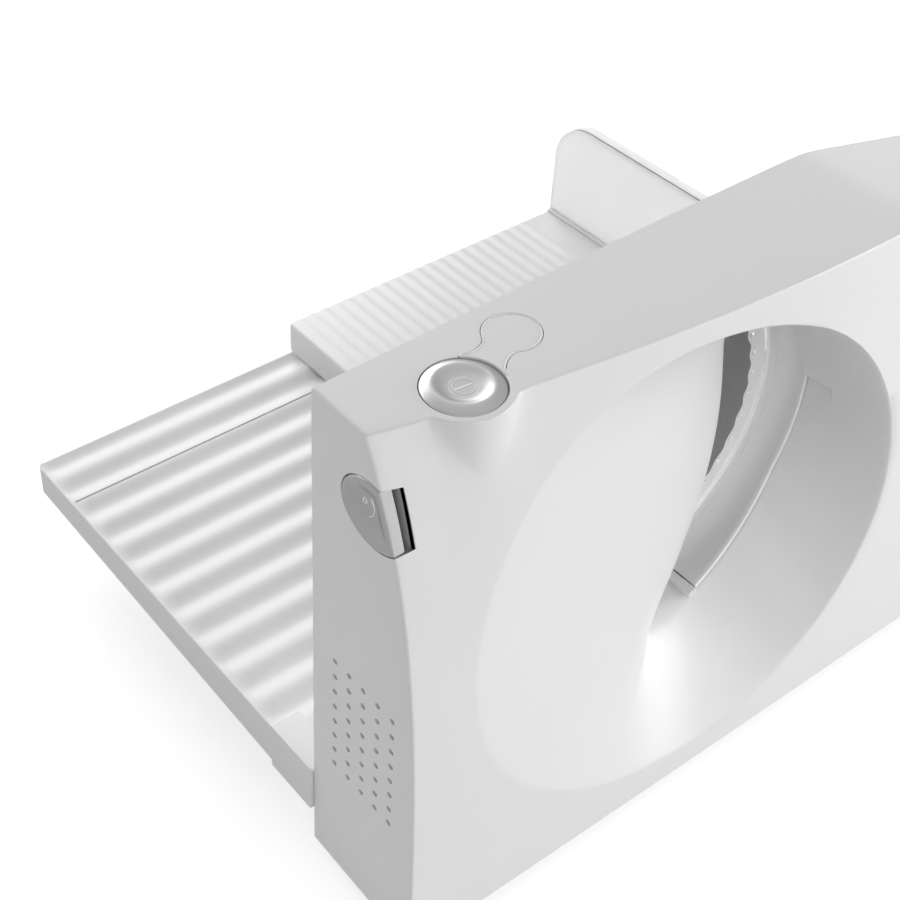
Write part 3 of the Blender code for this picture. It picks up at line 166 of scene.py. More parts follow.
greyPlastic = mouldedPlastic("greyPolyamide", "#6b6b6c", "#656566", 0.52, 0.4, 0.15)  # stems, fan, carrier
blackPlastic = mouldedPlastic("blackAbs", "#1b1b1d", "#202022", 0.42, 0.4, 0.12)  # switch and cord inlet
nylon = mouldedPlastic("naturalNylon", "#dcd8c8", "#d2cebd", 0.45, 0.4, 0.08)  # cream moulded gear
rubber = mouldedPlastic("footRubber", "#2f3032", "#3a3b3d", 0.82, 0.3, 0.35)  # dull grained feet
markPaint = mouldedPlastic("greyPadPrint", "#8e8f90", "#888889", 0.55, 0.3, 0.05)  # printed scale marks
satinButton = brushedMetal("satinButtonMetal", "#a2a2a2", 0.42, (0.25,), 0.05, centre=powerAxis)  # turned cap
satinLock = brushedMetal("satinLockMetal", "#8c8c8c", 0.34, (0.3, 6, 0.3), 0.04)  # brushed lock button
engraved = brushedMetal("polishedMark", "#d8d8d8", 0.22, (0.3, 0.3, 0.3), 0.03)  # bright signs
bladeFlat = brushedMetal("groundBladeSteel", "#8a8a8a", 0.30, (0.35,), 0.10, centre=bladeAxis)  # turned disc
bladeBevel = brushedMetal("honedBladeEdge", "#f6f6f6", 0.42, (0.2,), 0.06, 0.7, bladeAxis)  # fine pale grind
bladeDimple = brushedMetal("polishedDimple", "#f4f4f4", 0.16, (0.2,), 0.02, centre=bladeAxis)  # pressed, bright
fenceMetal = brushedMetal("silverCoatedFence", "#e6e6e6", 0.5, (8, 0.3, 0.3), 0.04, 0.4)  # painted
aluminiumRaw = brushedMetal("millAluminium", "#b9babc", 0.38, (6, 0.4, 0.4), 0.08)  # rolled sheet
zincSteel = brushedMetal("zincPlatedSteel", "#a7aaad", 0.34, (0.8, 0.8, 0.8), 0.10)  # screws and shafts
sinteredBronze = brushedMetal("sinteredBronze", "#9b7b4d", 0.48, (0.3, 0.3, 0.3), 0.25)  # open-grained bushes
print("materials made")


# Mesh helpers

def newObject(name, data):
    holder = bpy.data.objects.new(name, data)
    scene.collection.objects.link(holder)
    return holder


def turnOutwards(shape):
    bmesh.ops.recalc_face_normals(shape, faces=shape.faces)
    if shape.calc_volume(signed=True) < 0:
        bmesh.ops.reverse_faces(shape, faces=shape.faces)


def shadeMesh(mesh, smoothAngle):
    mesh.shade_smooth()
    mesh.set_sharp_from_angle(angle=radians(smoothAngle))


def newPiece(name, points, faces, material, smoothAngle=38, keepNormals=False):
    mesh = bpy.data.meshes.new(name)
    mesh.from_pydata(points, [], faces)
    shape = bmesh.new()
    shape.from_mesh(mesh)
    bmesh.ops.remove_doubles(shape, verts=shape.verts, dist=0.002 * mm)
    if not keepNormals:
        turnOutwards(shape)
    shape.to_mesh(mesh)
    shape.free()
    shadeMesh(mesh, smoothAngle)
    if material:
        mesh.materials.append(material)
    return newObject(name, mesh)


def skinPiece(name, rings, material, smoothAngle=38, ends="capped"):
    # quads over rings of equally many points, the two ends capped, joined or open
    count, rows = len(rings[0]), len(rings)
    faces = []
    for r in range(rows if ends == "joined" else rows - 1):
        s = (r + 1) % rows
        for i in range(count):
            j = (i + 1) % count
            faces.append((r * count + i, r * count + j, s * count + j, s * count + i))
    if ends == "capped":
        faces += [tuple(range(count)), tuple((rows - 1) * count + i for i in range(count))]
    return newPiece(name, [p for ring in rings for p in ring], faces, material, smoothAngle)


def turns(steps):
    return [tau * k / steps for k in range(steps)]


def sweepAngles(first, last, steps):
    # from one angle in degrees to another, both included
    return [radians(first + (last - first) * i / steps) for i in range(steps + 1)]


def turned(name, profile, centre, axis, material, steps=96, smoothAngle=30):
    # profile of (radius, distance along the axis), from the axis outwards and back
    turn = Vector(axis).to_track_quat("Z", "Y").to_matrix()
    rings = [[centre + turn @ (Vector((radius * cos(angle), radius * sin(angle), distance)) * mm)
              for angle in turns(steps)] for radius, distance in profile]
    hollow = profile[0][0] > 0 and profile[-1][0] > 0
    return skinPiece(name, rings, material, smoothAngle, "joined" if hollow else "open")


def applyModifiers(piece):
    bpy.context.view_layer.update()
    graph = bpy.context.evaluated_depsgraph_get()
    mesh = bpy.data.meshes.new_from_object(piece.evaluated_get(graph))
    piece.modifiers.clear()
    piece.data = mesh
    return piece


def roundEdges(piece, width, steps=3):
    bevel = piece.modifiers.new("edges", "BEVEL")
    bevel.width = width * mm
    bevel.segments = steps
    bevel.limit_method = "ANGLE"
    bevel.angle_limit = radians(40)
    applyModifiers(piece)


def rectangle(left, right, low, high):
    return [(left, low), (right, low), (right, high), (left, high)]


def depths(low, high, place=at):
    # the two places of a slab whose outline is (along, height)
    return [lambda a, b, depth=depth: place(a, depth, b) for depth in (low, high)]


def alongs(low, high, place):
    # the two places of a slab whose outline is (depth, height)
    return [lambda a, b, along=along: place(along, a, b) for along in (low, high)]


def heights(low, high):
    # the two places of a slab on the feed side whose outline is (along, distance)
    return [lambda a, b, height=height: out(a, b, height) for height in (low, high)]


def slab(name, outline, places, rounding, material, steps=3, smoothAngle=38):
    # a flat outline of (a, b) between two places, its sharp edges rounded
    piece = skinPiece(name, [[place(a, b) for a, b in outline] for place in places], material, smoothAngle)
    if rounding:
        roundEdges(piece, rounding, steps)
    return piece


def cutWith(piece, cutters, smoothAngle=38, operation="DIFFERENCE"):
    for cutter in cutters:
        modifier = piece.modifiers.new(cutter.name, "BOOLEAN")
        modifier.operation = operation
        modifier.solver = "EXACT"
        modifier.object = cutter
    applyModifiers(piece)
    for cutter in cutters:
        bpy.data.objects.remove(cutter, do_unlink=True)
    shadeMesh(piece.data, smoothAngle)
    return piece


def joined(name, pieces):
    # several meshes as one piece, each keeping its own material
    shape = bmesh.new()
    materials = []
    for piece in pieces:
        first = len(shape.faces)
        shape.from_mesh(piece.data)
        shape.faces.ensure_lookup_table()
        for face in shape.faces[first:]:
            material = piece.data.materials[face.material_index]
            if material not in materials:
                materials.append(material)
            face.material_index = materials.index(material)
    mesh = bpy.data.meshes.new(name)
    shape.to_mesh(mesh)
    shape.free()
    for material in materials:
        mesh.materials.append(material)
    for piece in pieces:
        bpy.data.objects.remove(piece, do_unlink=True)
    return newObject(name, mesh)


def bentWire(name, path, radius, material):
    curve = bpy.data.curves.new(name, "CURVE")
    curve.dimensions = "3D"
    spline = curve.splines.new("POLY")
    spline.points.add(len(path) - 1)
    for point, place in zip(spline.points, path):
        point.co = (*place, 1)
    curve.bevel_depth = radius * mm
    curve.bevel_resolution = 2
    curve.use_fill_caps = True
    wire = newObject(name, curve)
    bpy.context.view_layer.update()
    mesh = bpy.data.meshes.new_from_object(wire.evaluated_get(bpy.context.evaluated_depsgraph_get()))
    bpy.data.objects.remove(wire, do_unlink=True)
    points = [vertex.co.copy() for vertex in mesh.vertices]
    return newPiece(name, points, [tuple(face.vertices) for face in mesh.polygons], material, 180)


def settle(piece, body, slot, *replaced):
    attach(piece, body)
    if replaced:
        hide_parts(*replaced)


def bezier(a, b, c, steps):
    # from a to c, rounding the corner b
    return [a * (1 - t) ** 2 + b * 2 * t * (1 - t) + c * t * t for t in (i / steps for i in range(1, steps))]


def openTree(name, values):
    # a Geometry Nodes tree whose named inputs are given as label: (kind, value)
    tree = bpy.data.node_groups.new(name, "GeometryNodeTree")
    tree.interface.new_socket("Geometry", in_out="OUTPUT", socket_type="NodeSocketGeometry")
    for label, (kind, value) in values.items():
        socket = tree.interface.new_socket(label, in_out="INPUT", socket_type="NodeSocket" + kind)
        if kind != "Object":
            socket.default_value = value
    return tree, addNode(tree, "NodeGroupInput").outputs


def runTree(name, tree, values, geometry, material):
    real = addNode(tree, "GeometryNodeRealizeInstances", {"Geometry": geometry})
    painted = addNode(tree, "GeometryNodeSetMaterial", {"Geometry": real.outputs[0], "Material": material})
    addNode(tree, "NodeGroupOutput", {"Geometry": painted.outputs["Geometry"]})
    holder = newObject(name, bpy.data.meshes.new(name))
    modifier = holder.modifiers.new("pattern", "NODES")
    modifier.node_group = tree
    for socket in tree.interface.items_tree:
        if socket.in_out == "INPUT":
            modifier[socket.identifier] = values[socket.name][1]
    return applyModifiers(holder)


def repeatAlong(name, part, count, start, step, material):
    # copies of one small mesh along a line
    values = {"Count": ("Int", count), "Start": ("Vector", start), "Step": ("Vector", step),
              "Part": ("Object", part)}
    tree, inputs = openTree(name, values)
    line = addNode(tree, "GeometryNodeMeshLine", {"Count": inputs["Count"], "Start Location": inputs["Start"],
                                                  "Offset": inputs["Step"]})
    source = addNode(tree, "GeometryNodeObjectInfo", {"Object": inputs["Part"]})
    spread = addNode(tree, "GeometryNodeInstanceOnPoints", {"Points": line.outputs["Mesh"],
                                                            "Instance": source.outputs["Geometry"]})
    return runTree(name, tree, values, spread.outputs["Instances"], material)


# Housing: one skin from the back edge over the front face and down the chute to its throat

housing = {"length": 372.0, "foot": 4.0, "top": 258.0, "rise": 4.25, "peak": 242.6, "fall": tan(radians(13)),
           "depthNear": 29.1, "depthPeak": 60.0, "depthFar": 42.0, "peakAlong": 225.0, "growth": 0.846,
           "depthFoot": 67.0, "flare": 65.0, "wall": 3.0, "edge": 1.0, "corner": 1.4, "rimEdge": 1.1}
power = {"along": 40.9, "depth": 29.9, "radius": 15.1, "bulge": 18.0, "blend": 4.5, "gap": 0.3, "proud": 1.4}
chute = {"along": 142.4, "height": 140.7, "left": 111.5, "right": 104.0, "up": 116.4, "down": 128.0,
         "tilt": 0.70, "radius": 93.4, "least": 21.3, "top": 229.8, "foot": -69.0, "crestRadius": 176.0,
         "crestReach": 34.0, "crestOffset": 5.0, "crestDepth": 24.0, "crestRoll": 8.0, "lipRoll": 0.9,
         "belly": 0.2, "margin": 1.5, "sectors": (58.0, -60.5, -110.6, -278.0, -302.0), "sillGrowth": 12,
         "turnFloor": 20.2, "turnRoom": 6, "back": 19.95, "backCrest": 10.4, "backSill": 4.9}
blade = {"along": 158.4, "height": 147.8, "radius": 85.0, "depth": 2.0, "thickness": 1.2, "scallops": 40,
         "ground": 75.6, "wave": 1.1, "dimple": 1.5, "dimpleIn": 2.9, "dimpleDeep": 0.7}
fence = {"inner": 91.0, "lip": 85.9, "thickness": 2.0, "depth": 2.2, "top": 230.0, "foot": 62.5, "far": 360.0,
         "first": -67.0, "last": 60.0, "travel": 14.0, "room": 0.3, "start": 1.7, "bend": 258.6, "below": 16,
         "edgeDepth": 17.2, "edgeFall": 8.4, "edgeUnder": 0.3}
lock = {"depth": 34.5, "height": 226.0, "halfDepth": 17.3, "halfHeight": 14.1, "length": 4.5, "travel": 3.6,
        "proud": 0.6, "middle": 30.5, "setBack": 0.25, "slack": 0.15, "markPlace": 1.48}
inlay = {"along": 72.6, "depth": 17.8, "radius": 10.8, "neck": 5.9, "inside": 6.0, "outside": 13.0,
         "thickness": 1.6}
knob = {"along": 318.0, "height": 110.0, "dish": 26.0, "dishDepth": 3.0, "tall": 17.0, "seatGap": 0.3}
vents = {"columns": 5, "rows": 8, "pitch": 8.8, "radius": 1.4, "firstDepth": 14.2, "topHeight": 133.5}
block = {"inner": 90.7, "outer": 94.5, "first": -67.5, "last": -70.4, "low": 4.7, "over": 0.6}
pocket = {"inner": 93.5, "outer": 95.5, "low": 20.5, "high": 37.0}  # closes the flange's slot from inside


def ringSpot(radius, angle):
    # (along, height) at a distance from the blade's axis
    return blade["along"] + radius * cos(angle), blade["height"] + radius * sin(angle)


def around(radius, angle, depth):
    along, height = ringSpot(radius, angle)
    return at(along, depth, height)


def topLevel(along):
    rise = sin(pi / 2 * min(max(along, 0) / housing["peak"], 1))
    past = along - housing["peak"]
    past = (past + sqrt(past * past + 25)) / 2
    return housing["top"] + housing["rise"] * rise - past * housing["fall"]


def topDepth(along):
    peak, turn = housing["depthPeak"], housing["peakAlong"]
    if along < turn:
        swell = sin(pi / 2 * max(along, 0) / turn) ** housing["growth"]
        return housing["depthNear"] + (peak - housing["depthNear"]) * swell
    swell = cos(pi / 2 * (along - turn) / (housing["length"] - turn))
    return housing["depthFar"] + (peak - housing["depthFar"]) * max(swell, 0)


def faceDepth(along, height):
    drop = max(topLevel(along) - height, 0)
    plan = topDepth(along)
    face = plan + (housing["depthFoot"] - plan) * (1 - exp(-drop / housing["flare"]))
    reach = power["bulge"] ** 2 - (along - power["along"]) ** 2
    if reach <= 0:
        return face
    swell = power["depth"] + sqrt(reach)
    blend, gap = power["blend"], face - swell
    return (face + swell + sqrt(gap ** 2 + blend ** 2)) / 2 - blend ** 2 / 4 / (abs(gap) + blend)


def rimPoint(angle):
    a, b = cos(angle - chute["tilt"]), sin(angle - chute["tilt"])
    halfA = chute["right"] if a > 0 else chute["left"]
    halfB = chute["up"] if b > 0 else chute["down"]
    reach = 1 / hypot(a / halfA, b / halfB)
    return Vector((chute["along"] + reach * cos(angle), chute["height"] + reach * sin(angle)))


def rimReach(angle):
    low, high = 0.0, 400.0
    middle = Vector((chute["along"], chute["height"]))
    for _ in range(40):
        reach = (low + high) / 2
        spot = Vector(ringSpot(reach, angle)) - middle
        edge = rimPoint(atan2(spot.y, spot.x)) - middle
        low, high = (reach, high) if spot.length < edge.length else (low, reach)
    return low


def crestAlong(height):
    up = height - blade["height"] - chute["crestOffset"]
    radius = chute["crestRadius"]
    return blade["along"] + chute["crestReach"] - radius + sqrt(radius ** 2 - up ** 2)


def flangeDepth(angle):
    return max(fence["edgeDepth"] - fence["edgeFall"] * angle, chute["least"] - fence["edgeUnder"])


footAngle = radians(chute["foot"])
topAngle = radians(20)
while ringSpot(rimReach(topAngle) - chute["margin"], topAngle)[1] < chute["top"]:
    topAngle += radians(0.5)
footRight, footHeight = ringSpot(chute["radius"], footAngle)
topRight = ringSpot(min(chute["radius"], rimReach(topAngle) - chute["margin"]), topAngle)[0]


def throatAt(bearing):
    # (along, height, depth of its edge, share of rolled crest, share of sill) for a direction in degrees
    marks = chute["sectors"]
    while bearing > marks[0]:
        bearing -= 360
    sector = next(i for i in range(4) if bearing >= marks[i + 1] or i == 3)
    share = (marks[sector] - bearing) / (marks[sector] - marks[sector + 1])
    crest, top = chute["crestDepth"], chute["top"]
    if sector == 0:
        angle = topAngle + (footAngle - topAngle) * share
        reach = min(chute["radius"], rimReach(angle) - chute["margin"])
        return (*ringSpot(reach, angle), max(flangeDepth(angle), chute["least"]), 0.0, 0.0)
    if sector == 1:
        endDepth = flangeDepth(footAngle)
        return (footRight + (crestAlong(footHeight) - footRight) * share, footHeight,
                endDepth + (crest - endDepth) * share, share, min(1.0, share * chute["sillGrowth"]))
    if sector == 2:
        height = footHeight + (top - footHeight) * share
        return crestAlong(height), height, crest, 1.0, 0.0
    topLeft = crestAlong(top)
    edgeDepth = crest + (chute["least"] - crest) * share
    return topLeft + (topRight - topLeft) * share, top, edgeDepth, 1.0 - share, 0.0


def wallOutline():
    # the wall seen from the front, with rounded corners: closer points over the button's swelling
    length, low, corner = housing["length"], housing["foot"], housing["corner"]

    def arc(centreAlong, centreHeight, first, last):
        return [Vector((centreAlong + corner * cos(a), centreHeight + corner * sin(a)))
                for a in sweepAngles(first, last, 4)]

    points = [Vector((0, low + corner + (topLevel(0) - low - 2 * corner) * i / 78)) for i in range(1, 78)]
    points += arc(corner, topLevel(corner) - corner, 180, 92)
    along = corner
    while along < length - corner - 2.5:
        along += 1.5 if along < 72 else 3.0
        points.append(Vector((along, topLevel(along))))
    points += arc(length - corner, topLevel(length - corner) - corner, 77, 0)
    farTop = topLevel(length) - 2 * corner
    points += [Vector((length, farTop + (low + corner - farTop) * i / 64)) for i in range(1, 64)]
    points += arc(length - corner, low + corner, 0, -90)
    points += [Vector((length - corner + (2 * corner - length) * i / 84, low)) for i in range(1, 84)]
    return points + arc(corner, low + corner, -90, -180)


def outwardNormals(points, outward):
    # sideways directions in the plane of a closed outline, pointing away from a middle
    normals = []
    for i, point in enumerate(points):
        tangent = points[(i + 1) % len(points)] - points[i - 1]
        normal = Vector((tangent.y, -tangent.x)).normalized()
        normals.append(normal if normal.dot(point - outward) > 0 else -normal)
    return normals


def onFace(spot):
    return Vector((spot.x, faceDepth(spot.x, spot.y), spot.y))


def makeHousing():
    border = wallOutline()
    middle = Vector((chute["along"], chute["height"]))
    normals = outwardNormals(border, middle)
    angles = [atan2(p.y - middle.y, p.x - middle.x) for p in border]
    rim = [rimPoint(a) for a in angles]
    rimNormals = outwardNormals(rim, middle)
    throat = [list(throatAt(degrees(a))) for a in angles]
    for _ in range(3):
        following = throat[1:] + throat[:1]
        throat = [[(before + 2 * here + after) / 4 for before, here, after in zip(*three)]
                  for three in zip(throat[-1:] + throat[:-1], throat, following)]
    throatFlat = [Vector(t[:2]) for t in throat]
    throatNormals = outwardNormals(throatFlat, Vector((blade["along"] + 55, blade["height"])))
    edge, rimEdge, wall = housing["edge"], housing["rimEdge"], housing["wall"]

    def onChute(i, share, sink=0.0, spread=0.0):
        t, r = throatFlat[i] + throatNormals[i] * spread, rim[i] + rimNormals[i] * spread
        spot = t + (r - t) * share
        bend = share ** (1 - chute["belly"] * throat[i][3])
        return Vector((spot.x, throat[i][2] + (faceDepth(r.x, r.y) - throat[i][2]) * bend - sink, spot.y))

    columns = []
    for i, spot in enumerate(border):
        edgeDepth, crest, sill = throat[i][2:]
        flat, normal = throatFlat[i], throatNormals[i]
        lip = onFace(spot)
        column = [Vector((spot.x, (lip.y - edge) * share, spot.y)) for share in (0, 0.25, 0.5, 0.75, 1)]
        inner = spot - normals[i] * edge
        column += bezier(column[-1], lip, onFace(inner), 5)
        across = rim[i] - inner
        faceStop = 1 - rimEdge / across.length
        column += [onFace(inner + across * (faceStop * k / 23)) for k in range(24)]
        reach = max((rim[i] - flat).length, 1e-3)
        rimShare = 1 - min(rimEdge / reach, 0.4)
        roll = chute["lipRoll"] + (chute["crestRoll"] - chute["lipRoll"]) * crest
        rollShare = min(roll / reach, 0.4)
        column += bezier(column[-1], onFace(rim[i]), onChute(i, rimShare), 5)
        column += [onChute(i, rimShare + (rollShare - rimShare) * k / 25) for k in range(26)]
        corner = Vector((flat.x, edgeDepth, flat.y))
        fall = min(roll, edgeDepth - chute["turnFloor"] + crest * chute["turnRoom"])
        turnEnd = corner - Vector((0, fall, 0))
        column += bezier(column[-1], corner, turnEnd, 7)
        back = chute["back"] + (chute["backCrest"] - chute["back"]) * crest
        back = back * (1 - sill) + chute["backSill"] * sill
        column += [turnEnd, Vector((turnEnd.x, back, turnEnd.z)),
                   Vector((flat.x + normal.x * wall, back, flat.y + normal.y * wall))]
        column += [onChute(i, k / 10, wall, wall) for k in range(11)]
        rimBack, innerBorder = rim[i] + rimNormals[i] * wall, spot - normals[i] * wall
        span = innerBorder - rimBack
        column += [onFace(rimBack + span * (k / 8)) - Vector((0, wall, 0)) for k in range(1, 9)]
        column.append(Vector((innerBorder.x, 0, innerBorder.y)))
        columns.append([at(*p) for p in column])
    rings = [[column[row] for column in columns] for row in range(len(columns[0]))]
    return skinPiece("housingShell", rings, acrylonitrile, 40, "joined")


def plug(name, radius, low, high, centre, axis, steps=96):
    return turned(name, [(0, low), (radius, low), (radius, high), (0, high)], centre, axis, None, steps)


def lockOval(grow, steps=96):
    wide, tall = lock["halfDepth"] + grow, lock["halfHeight"] + grow
    return [(lock["depth"] + wide * cos(a), lock["height"] + tall * sin(a)) for a in turns(steps)]


def lockBore(name, grow):
    return slab(name, lockOval(grow), alongs(-6, lock["length"] + lock["travel"], at), 0, None)


def ringSector(name, inner, outer, first, last, low, high, material, steps):
    # part of a ring round the blade's axis, between two angles in degrees and two depths, high given by angle
    rings = []
    for angle in sweepAngles(first, last, steps):
        section = [(inner, low), (inner, high(angle)), (outer, high(angle)), (outer, low)]
        rings.append([around(r, angle, d) for r, d in section])
    return skinPiece(name, rings, material)


def inlayOutline(grow, pastRim=False):
    # half the outline as (distance from the button, half width): rim, the neck's two arcs, round figure
    axis = Vector((inlay["along"] - power["along"], inlay["depth"] - power["depth"]))
    reach = axis.length
    axis.normalize()
    side = Vector((-axis.y, axis.x))
    rim = power["radius"] + power["gap"]
    inside, outside, neck, radius = inlay["inside"], inlay["outside"], inlay["neck"], inlay["radius"]
    waist = reach - sqrt((radius + inside) ** 2 - (neck + inside) ** 2)
    half = []
    for i in range(13):  # from the button's rim to the waist
        t = waist - (waist - rim * 0.86) * (1 - i / 12)
        half.append((t, neck + outside - sqrt(outside ** 2 - (waist - t) ** 2)))
    half = [(t, w) for t, w in half if hypot(t, w) > rim + 0.3]
    first = atan2(half[0][1], half[0][0])
    base = rim - 1.2 if pastRim else rim
    half = [(base * cos(first * i / 8), base * sin(first * i / 8)) for i in range(9)] + half
    last = (reach - waist) * inside / (radius + inside)
    for i in range(1, 9):
        t = waist + last * i / 8
        half.append((t, neck + inside - sqrt(inside ** 2 - (t - waist) ** 2)))
    turn = atan2(neck + inside, waist - reach)
    for i in range(1, 31):
        angle = turn * (1 - i / 30)
        half.append((reach + radius * cos(angle), radius * sin(angle)))
    centre = Vector((power["along"], power["depth"]))
    half += [(t, -w) for t, w in half[-2:0:-1]]
    points = [centre + axis * t + side * w for t, w in half]
    if grow:
        points = [p + n * grow for p, n in zip(points, outwardNormals(points, centre + axis * reach * 0.8))]
    return [(p.x, p.y) for p in points]


def onTop(low, high):
    # the two places of a slab that follows the top face, whose outline is (along, depth)
    return [lambda a, d, rise=rise: at(a, d, topLevel(a) + rise) for rise in (low, high)]


shellPiece = makeHousing()
print("housing skin:", len(shellPiece.data.polygons), "faces")

powerPlace = at(power["along"], power["depth"], housing["top"])
knobFace = faceDepth(knob["along"], knob["height"])
powerHole = plug("powerHole", power["radius"] + power["gap"], -14, 6, powerPlace, (0, 0, 1))
inlayHole = slab("inlayHole", inlayOutline(0.25, pastRim=True), onTop(-2.4, 6), 0, None)
lockHole = lockBore("lockHole", 0.3)
knobHole = plug("knobHole", knob["dish"], -8, 12, at(knob["along"], knobFace, knob["height"]), (0, -1, 0))
inletHole = plug("inletHole", 5.8, -9, 6, at(372, 25, 28), (1, 0, 0), 48)
ventHole = plug("ventHole", vents["radius"], -3, 8, Vector((0, 0, 0)), (1, 0, 0), 20)
ventStep = -vents["pitch"] * mm
ventTop = at(0, vents["firstDepth"], vents["topHeight"])
ventColumn = repeatAlong("ventColumn", ventHole, vents["rows"], ventTop, (0, 0, ventStep), acrylonitrile)
ventField = repeatAlong("ventField", ventColumn, vents["columns"], (0, 0, 0), (0, ventStep, 0), acrylonitrile)
for helper in (ventHole, ventColumn):
    bpy.data.objects.remove(helper, do_unlink=True)
room = fence["room"]
flangeSlot = ringSector("flangeSlot", fence["inner"] - room, fence["inner"] + fence["thickness"] + room,
                        fence["first"] - 0.4, fence["last"] + 0.4, 0,
                        lambda angle: flangeDepth(angle) + fence["travel"] + room, None, 128)
cutWith(shellPiece, [powerHole, inlayHole, lockHole, knobHole, inletHole, ventField, flangeSlot], 40)

# cups behind the openings, so that nobody looks into the hollow
seat, dish, bore = knobFace - knob["dishDepth"], knob["dish"], power["radius"]
dishCup = turned("dishCup", [(5.4, seat - 3), (dish + 2.6, seat - 3), (dish + 2.6, knobFace - 1.6),
                             (dish + 0.02, knobFace - 1.0), (dish - 0.02, seat + 0.8), (dish - 0.9, seat),
                             (5.4, seat)], at(knob["along"], 0, knob["height"]), (0, -1, 0), acrylonitrile)
powerCup = turned("powerCup", [(3.5, -15.5), (bore + 2.2, -15.5), (bore + 2.2, -1.2), (bore + 0.32, -1.2),
                               (bore + 0.32, -13.2), (3.5, -13.2)], powerPlace, (0, 0, 1), acrylonitrile)
cupRings = [[at(place, min(d, faceDepth(place, h) - 0.6), h) for d, h in lockOval(1.8)]
            for place in (1.2, lock["length"] + lock["travel"] + 1.5)]
lockCup = skinPiece("lockCup", cupRings, acrylonitrile)
cutWith(lockCup, [lockBore("lockBore", 0.32)])
blockTop = flangeDepth(footAngle) + block["over"]
footBlock = ringSector("footBlock", block["inner"], block["outer"], block["first"], block["last"],
                       block["low"], lambda angle: blockTop, acrylonitrile, 3)
roundEdges(footBlock, 0.4)
slotEnds = [ringSector(name, pocket["inner"], pocket["outer"], first, last, pocket["low"],
                       lambda angle: pocket["high"], acrylonitrile, 16)
            for name, first, last in (("slotWall", -1.0, 17.0), ("slotRoof", 52.0, 66.0))]
shellPiece = joined("housingShell", [shellPiece, dishCup, powerCup, lockCup, footBlock] + slotEnds)
settle(shellPiece, "slicer_body", "white_plastic", "housing_shell")

inlayPiece = slab("figureInlay", inlayOutline(0.0), onTop(-inlay["thickness"], 0), 0.2, acrylonitrile)
beadPath = [at(a, d, topLevel(a) + 0.02) for a, d in inlayOutline(-0.35)]
inlayBead = bentWire("inlayBead", beadPath + beadPath[:1], 0.26, acrylonitrile)
inlayPiece = joined("figureInlay", [inlayPiece, inlayBead])
settle(inlayPiece, "slicer_body", "white_plastic", "switch_inlay")
print("housing done")

# Power button: dished satin cap with a raised on-off sign

powerFace = topLevel(power["along"]) + power["proud"]
capProfile = [(0, -8), (14.6, -8), (15.0, -7.7), (15.1, -7.2), (15.1, -2.1), (14.98, -1.75), (14.6, -1.45),
              (13.9, -1.12), (12.9, -0.66), (12.0, -0.24), (11.4, -0.06), (10.9, 0), (10.3, -0.05),
              (9.6, -0.28), (8.8, -0.66), (7.9, -1.02), (7.0, -1.26), (6.0, -1.40), (4.0, -1.46), (0, -1.48)]
capCentre = at(power["along"], power["depth"], powerFace)
capPiece = turned("powerCap", capProfile, capCentre, (0, 0, 1), satinButton, 128, 50)
signCentre = at(power["along"], power["depth"], powerFace - 1.47)
barAngle = radians(-7)


def raisedRing(name, radius, width, high):
    half = width / 2
    profile = [(radius - half, -0.2), (radius + half, -0.2), (radius + half * 0.7, high),
               (radius - half * 0.7, high)]
    return turned(name, profile, signCentre, (0, 0, 1), engraved, 72, 50)


def onBar(rise):
    return lambda a, b: signCentre + Vector((a * cos(barAngle) - b * sin(barAngle),
                                             a * sin(barAngle) + b * cos(barAngle), rise)) * mm


signBar = slab("signBar", rectangle(-3.3, 3.3, -0.28, 0.28), (onBar(-0.2), onBar(0.14)), 0.08, engraved, 2)
signRings = [raisedRing("signRing", 4.0, 0.4, 0.14), raisedRing("signRingOuter", 5.1, 0.3, 0.10)]
capPiece = joined("powerCap", [capPiece, signBar] + signRings)
settle(capPiece, "power_button", "satin_metal", "power_button")

# Lock button: an oval dish that ends at the housing's front face

lockProfile = [(1.0, lock["length"]), (1.0, 0.5), (0.99, 0.15), (0.965, -0.25), (0.93, -0.48), (0.88, -0.58),
               (0.83, -0.52), (0.76, -0.22), (0.67, 0.28), (0.57, 0.78), (0.46, 1.18), (0.34, 1.42),
               (0.2, 1.54), (0.0, 1.58)]
lockMiddle = Vector((lock["middle"], lock["height"]))
lockOutline = [Vector((min(depth, faceDepth(0, height) - lock["setBack"]), height))
               for depth, height in lockOval(-lock["slack"], 128)]
lockRings = [[at(lock["length"], *lockMiddle)] * 128]
for share, place in lockProfile:
    spots = [lockMiddle + (spot - lockMiddle) * share for spot in lockOutline]
    lockRings.append([at(max(place, -lock["proud"]), *spot) for spot in spots])
lockPiece = skinPiece("lockCap", lockRings, satinLock, 50, "open")
lockPiece.data.materials.append(buttonSide)
for face in lockPiece.data.polygons:
    face.material_index = 1 if abs(face.normal.x) < 0.5 else 0


def lockMark(name, angles, radius, shiftDepth, shiftHeight, thick):
    path = [at(lock["markPlace"], lock["middle"] - 1.2 + shiftDepth + radius * cos(a),
               lock["height"] + 1.6 + shiftHeight + radius * sin(a)) for a in angles]
    return bentWire(name, path, thick, engraved)


dot = lockMark("lockDot", turns(20) + [tau], 1.1, -0.6, 0.5, 0.16)
sweep = lockMark("lockSweep", sweepAngles(62, -66, 24), 5.0, -0.4, -0.6, 0.14)
lockPiece = joined("lockCap", [lockPiece, dot, sweep])
settle(lockPiece, "lock_button", "satin_metal", "lock_button")
print("buttons done")

# Blade: a ground disc with scalloped teeth

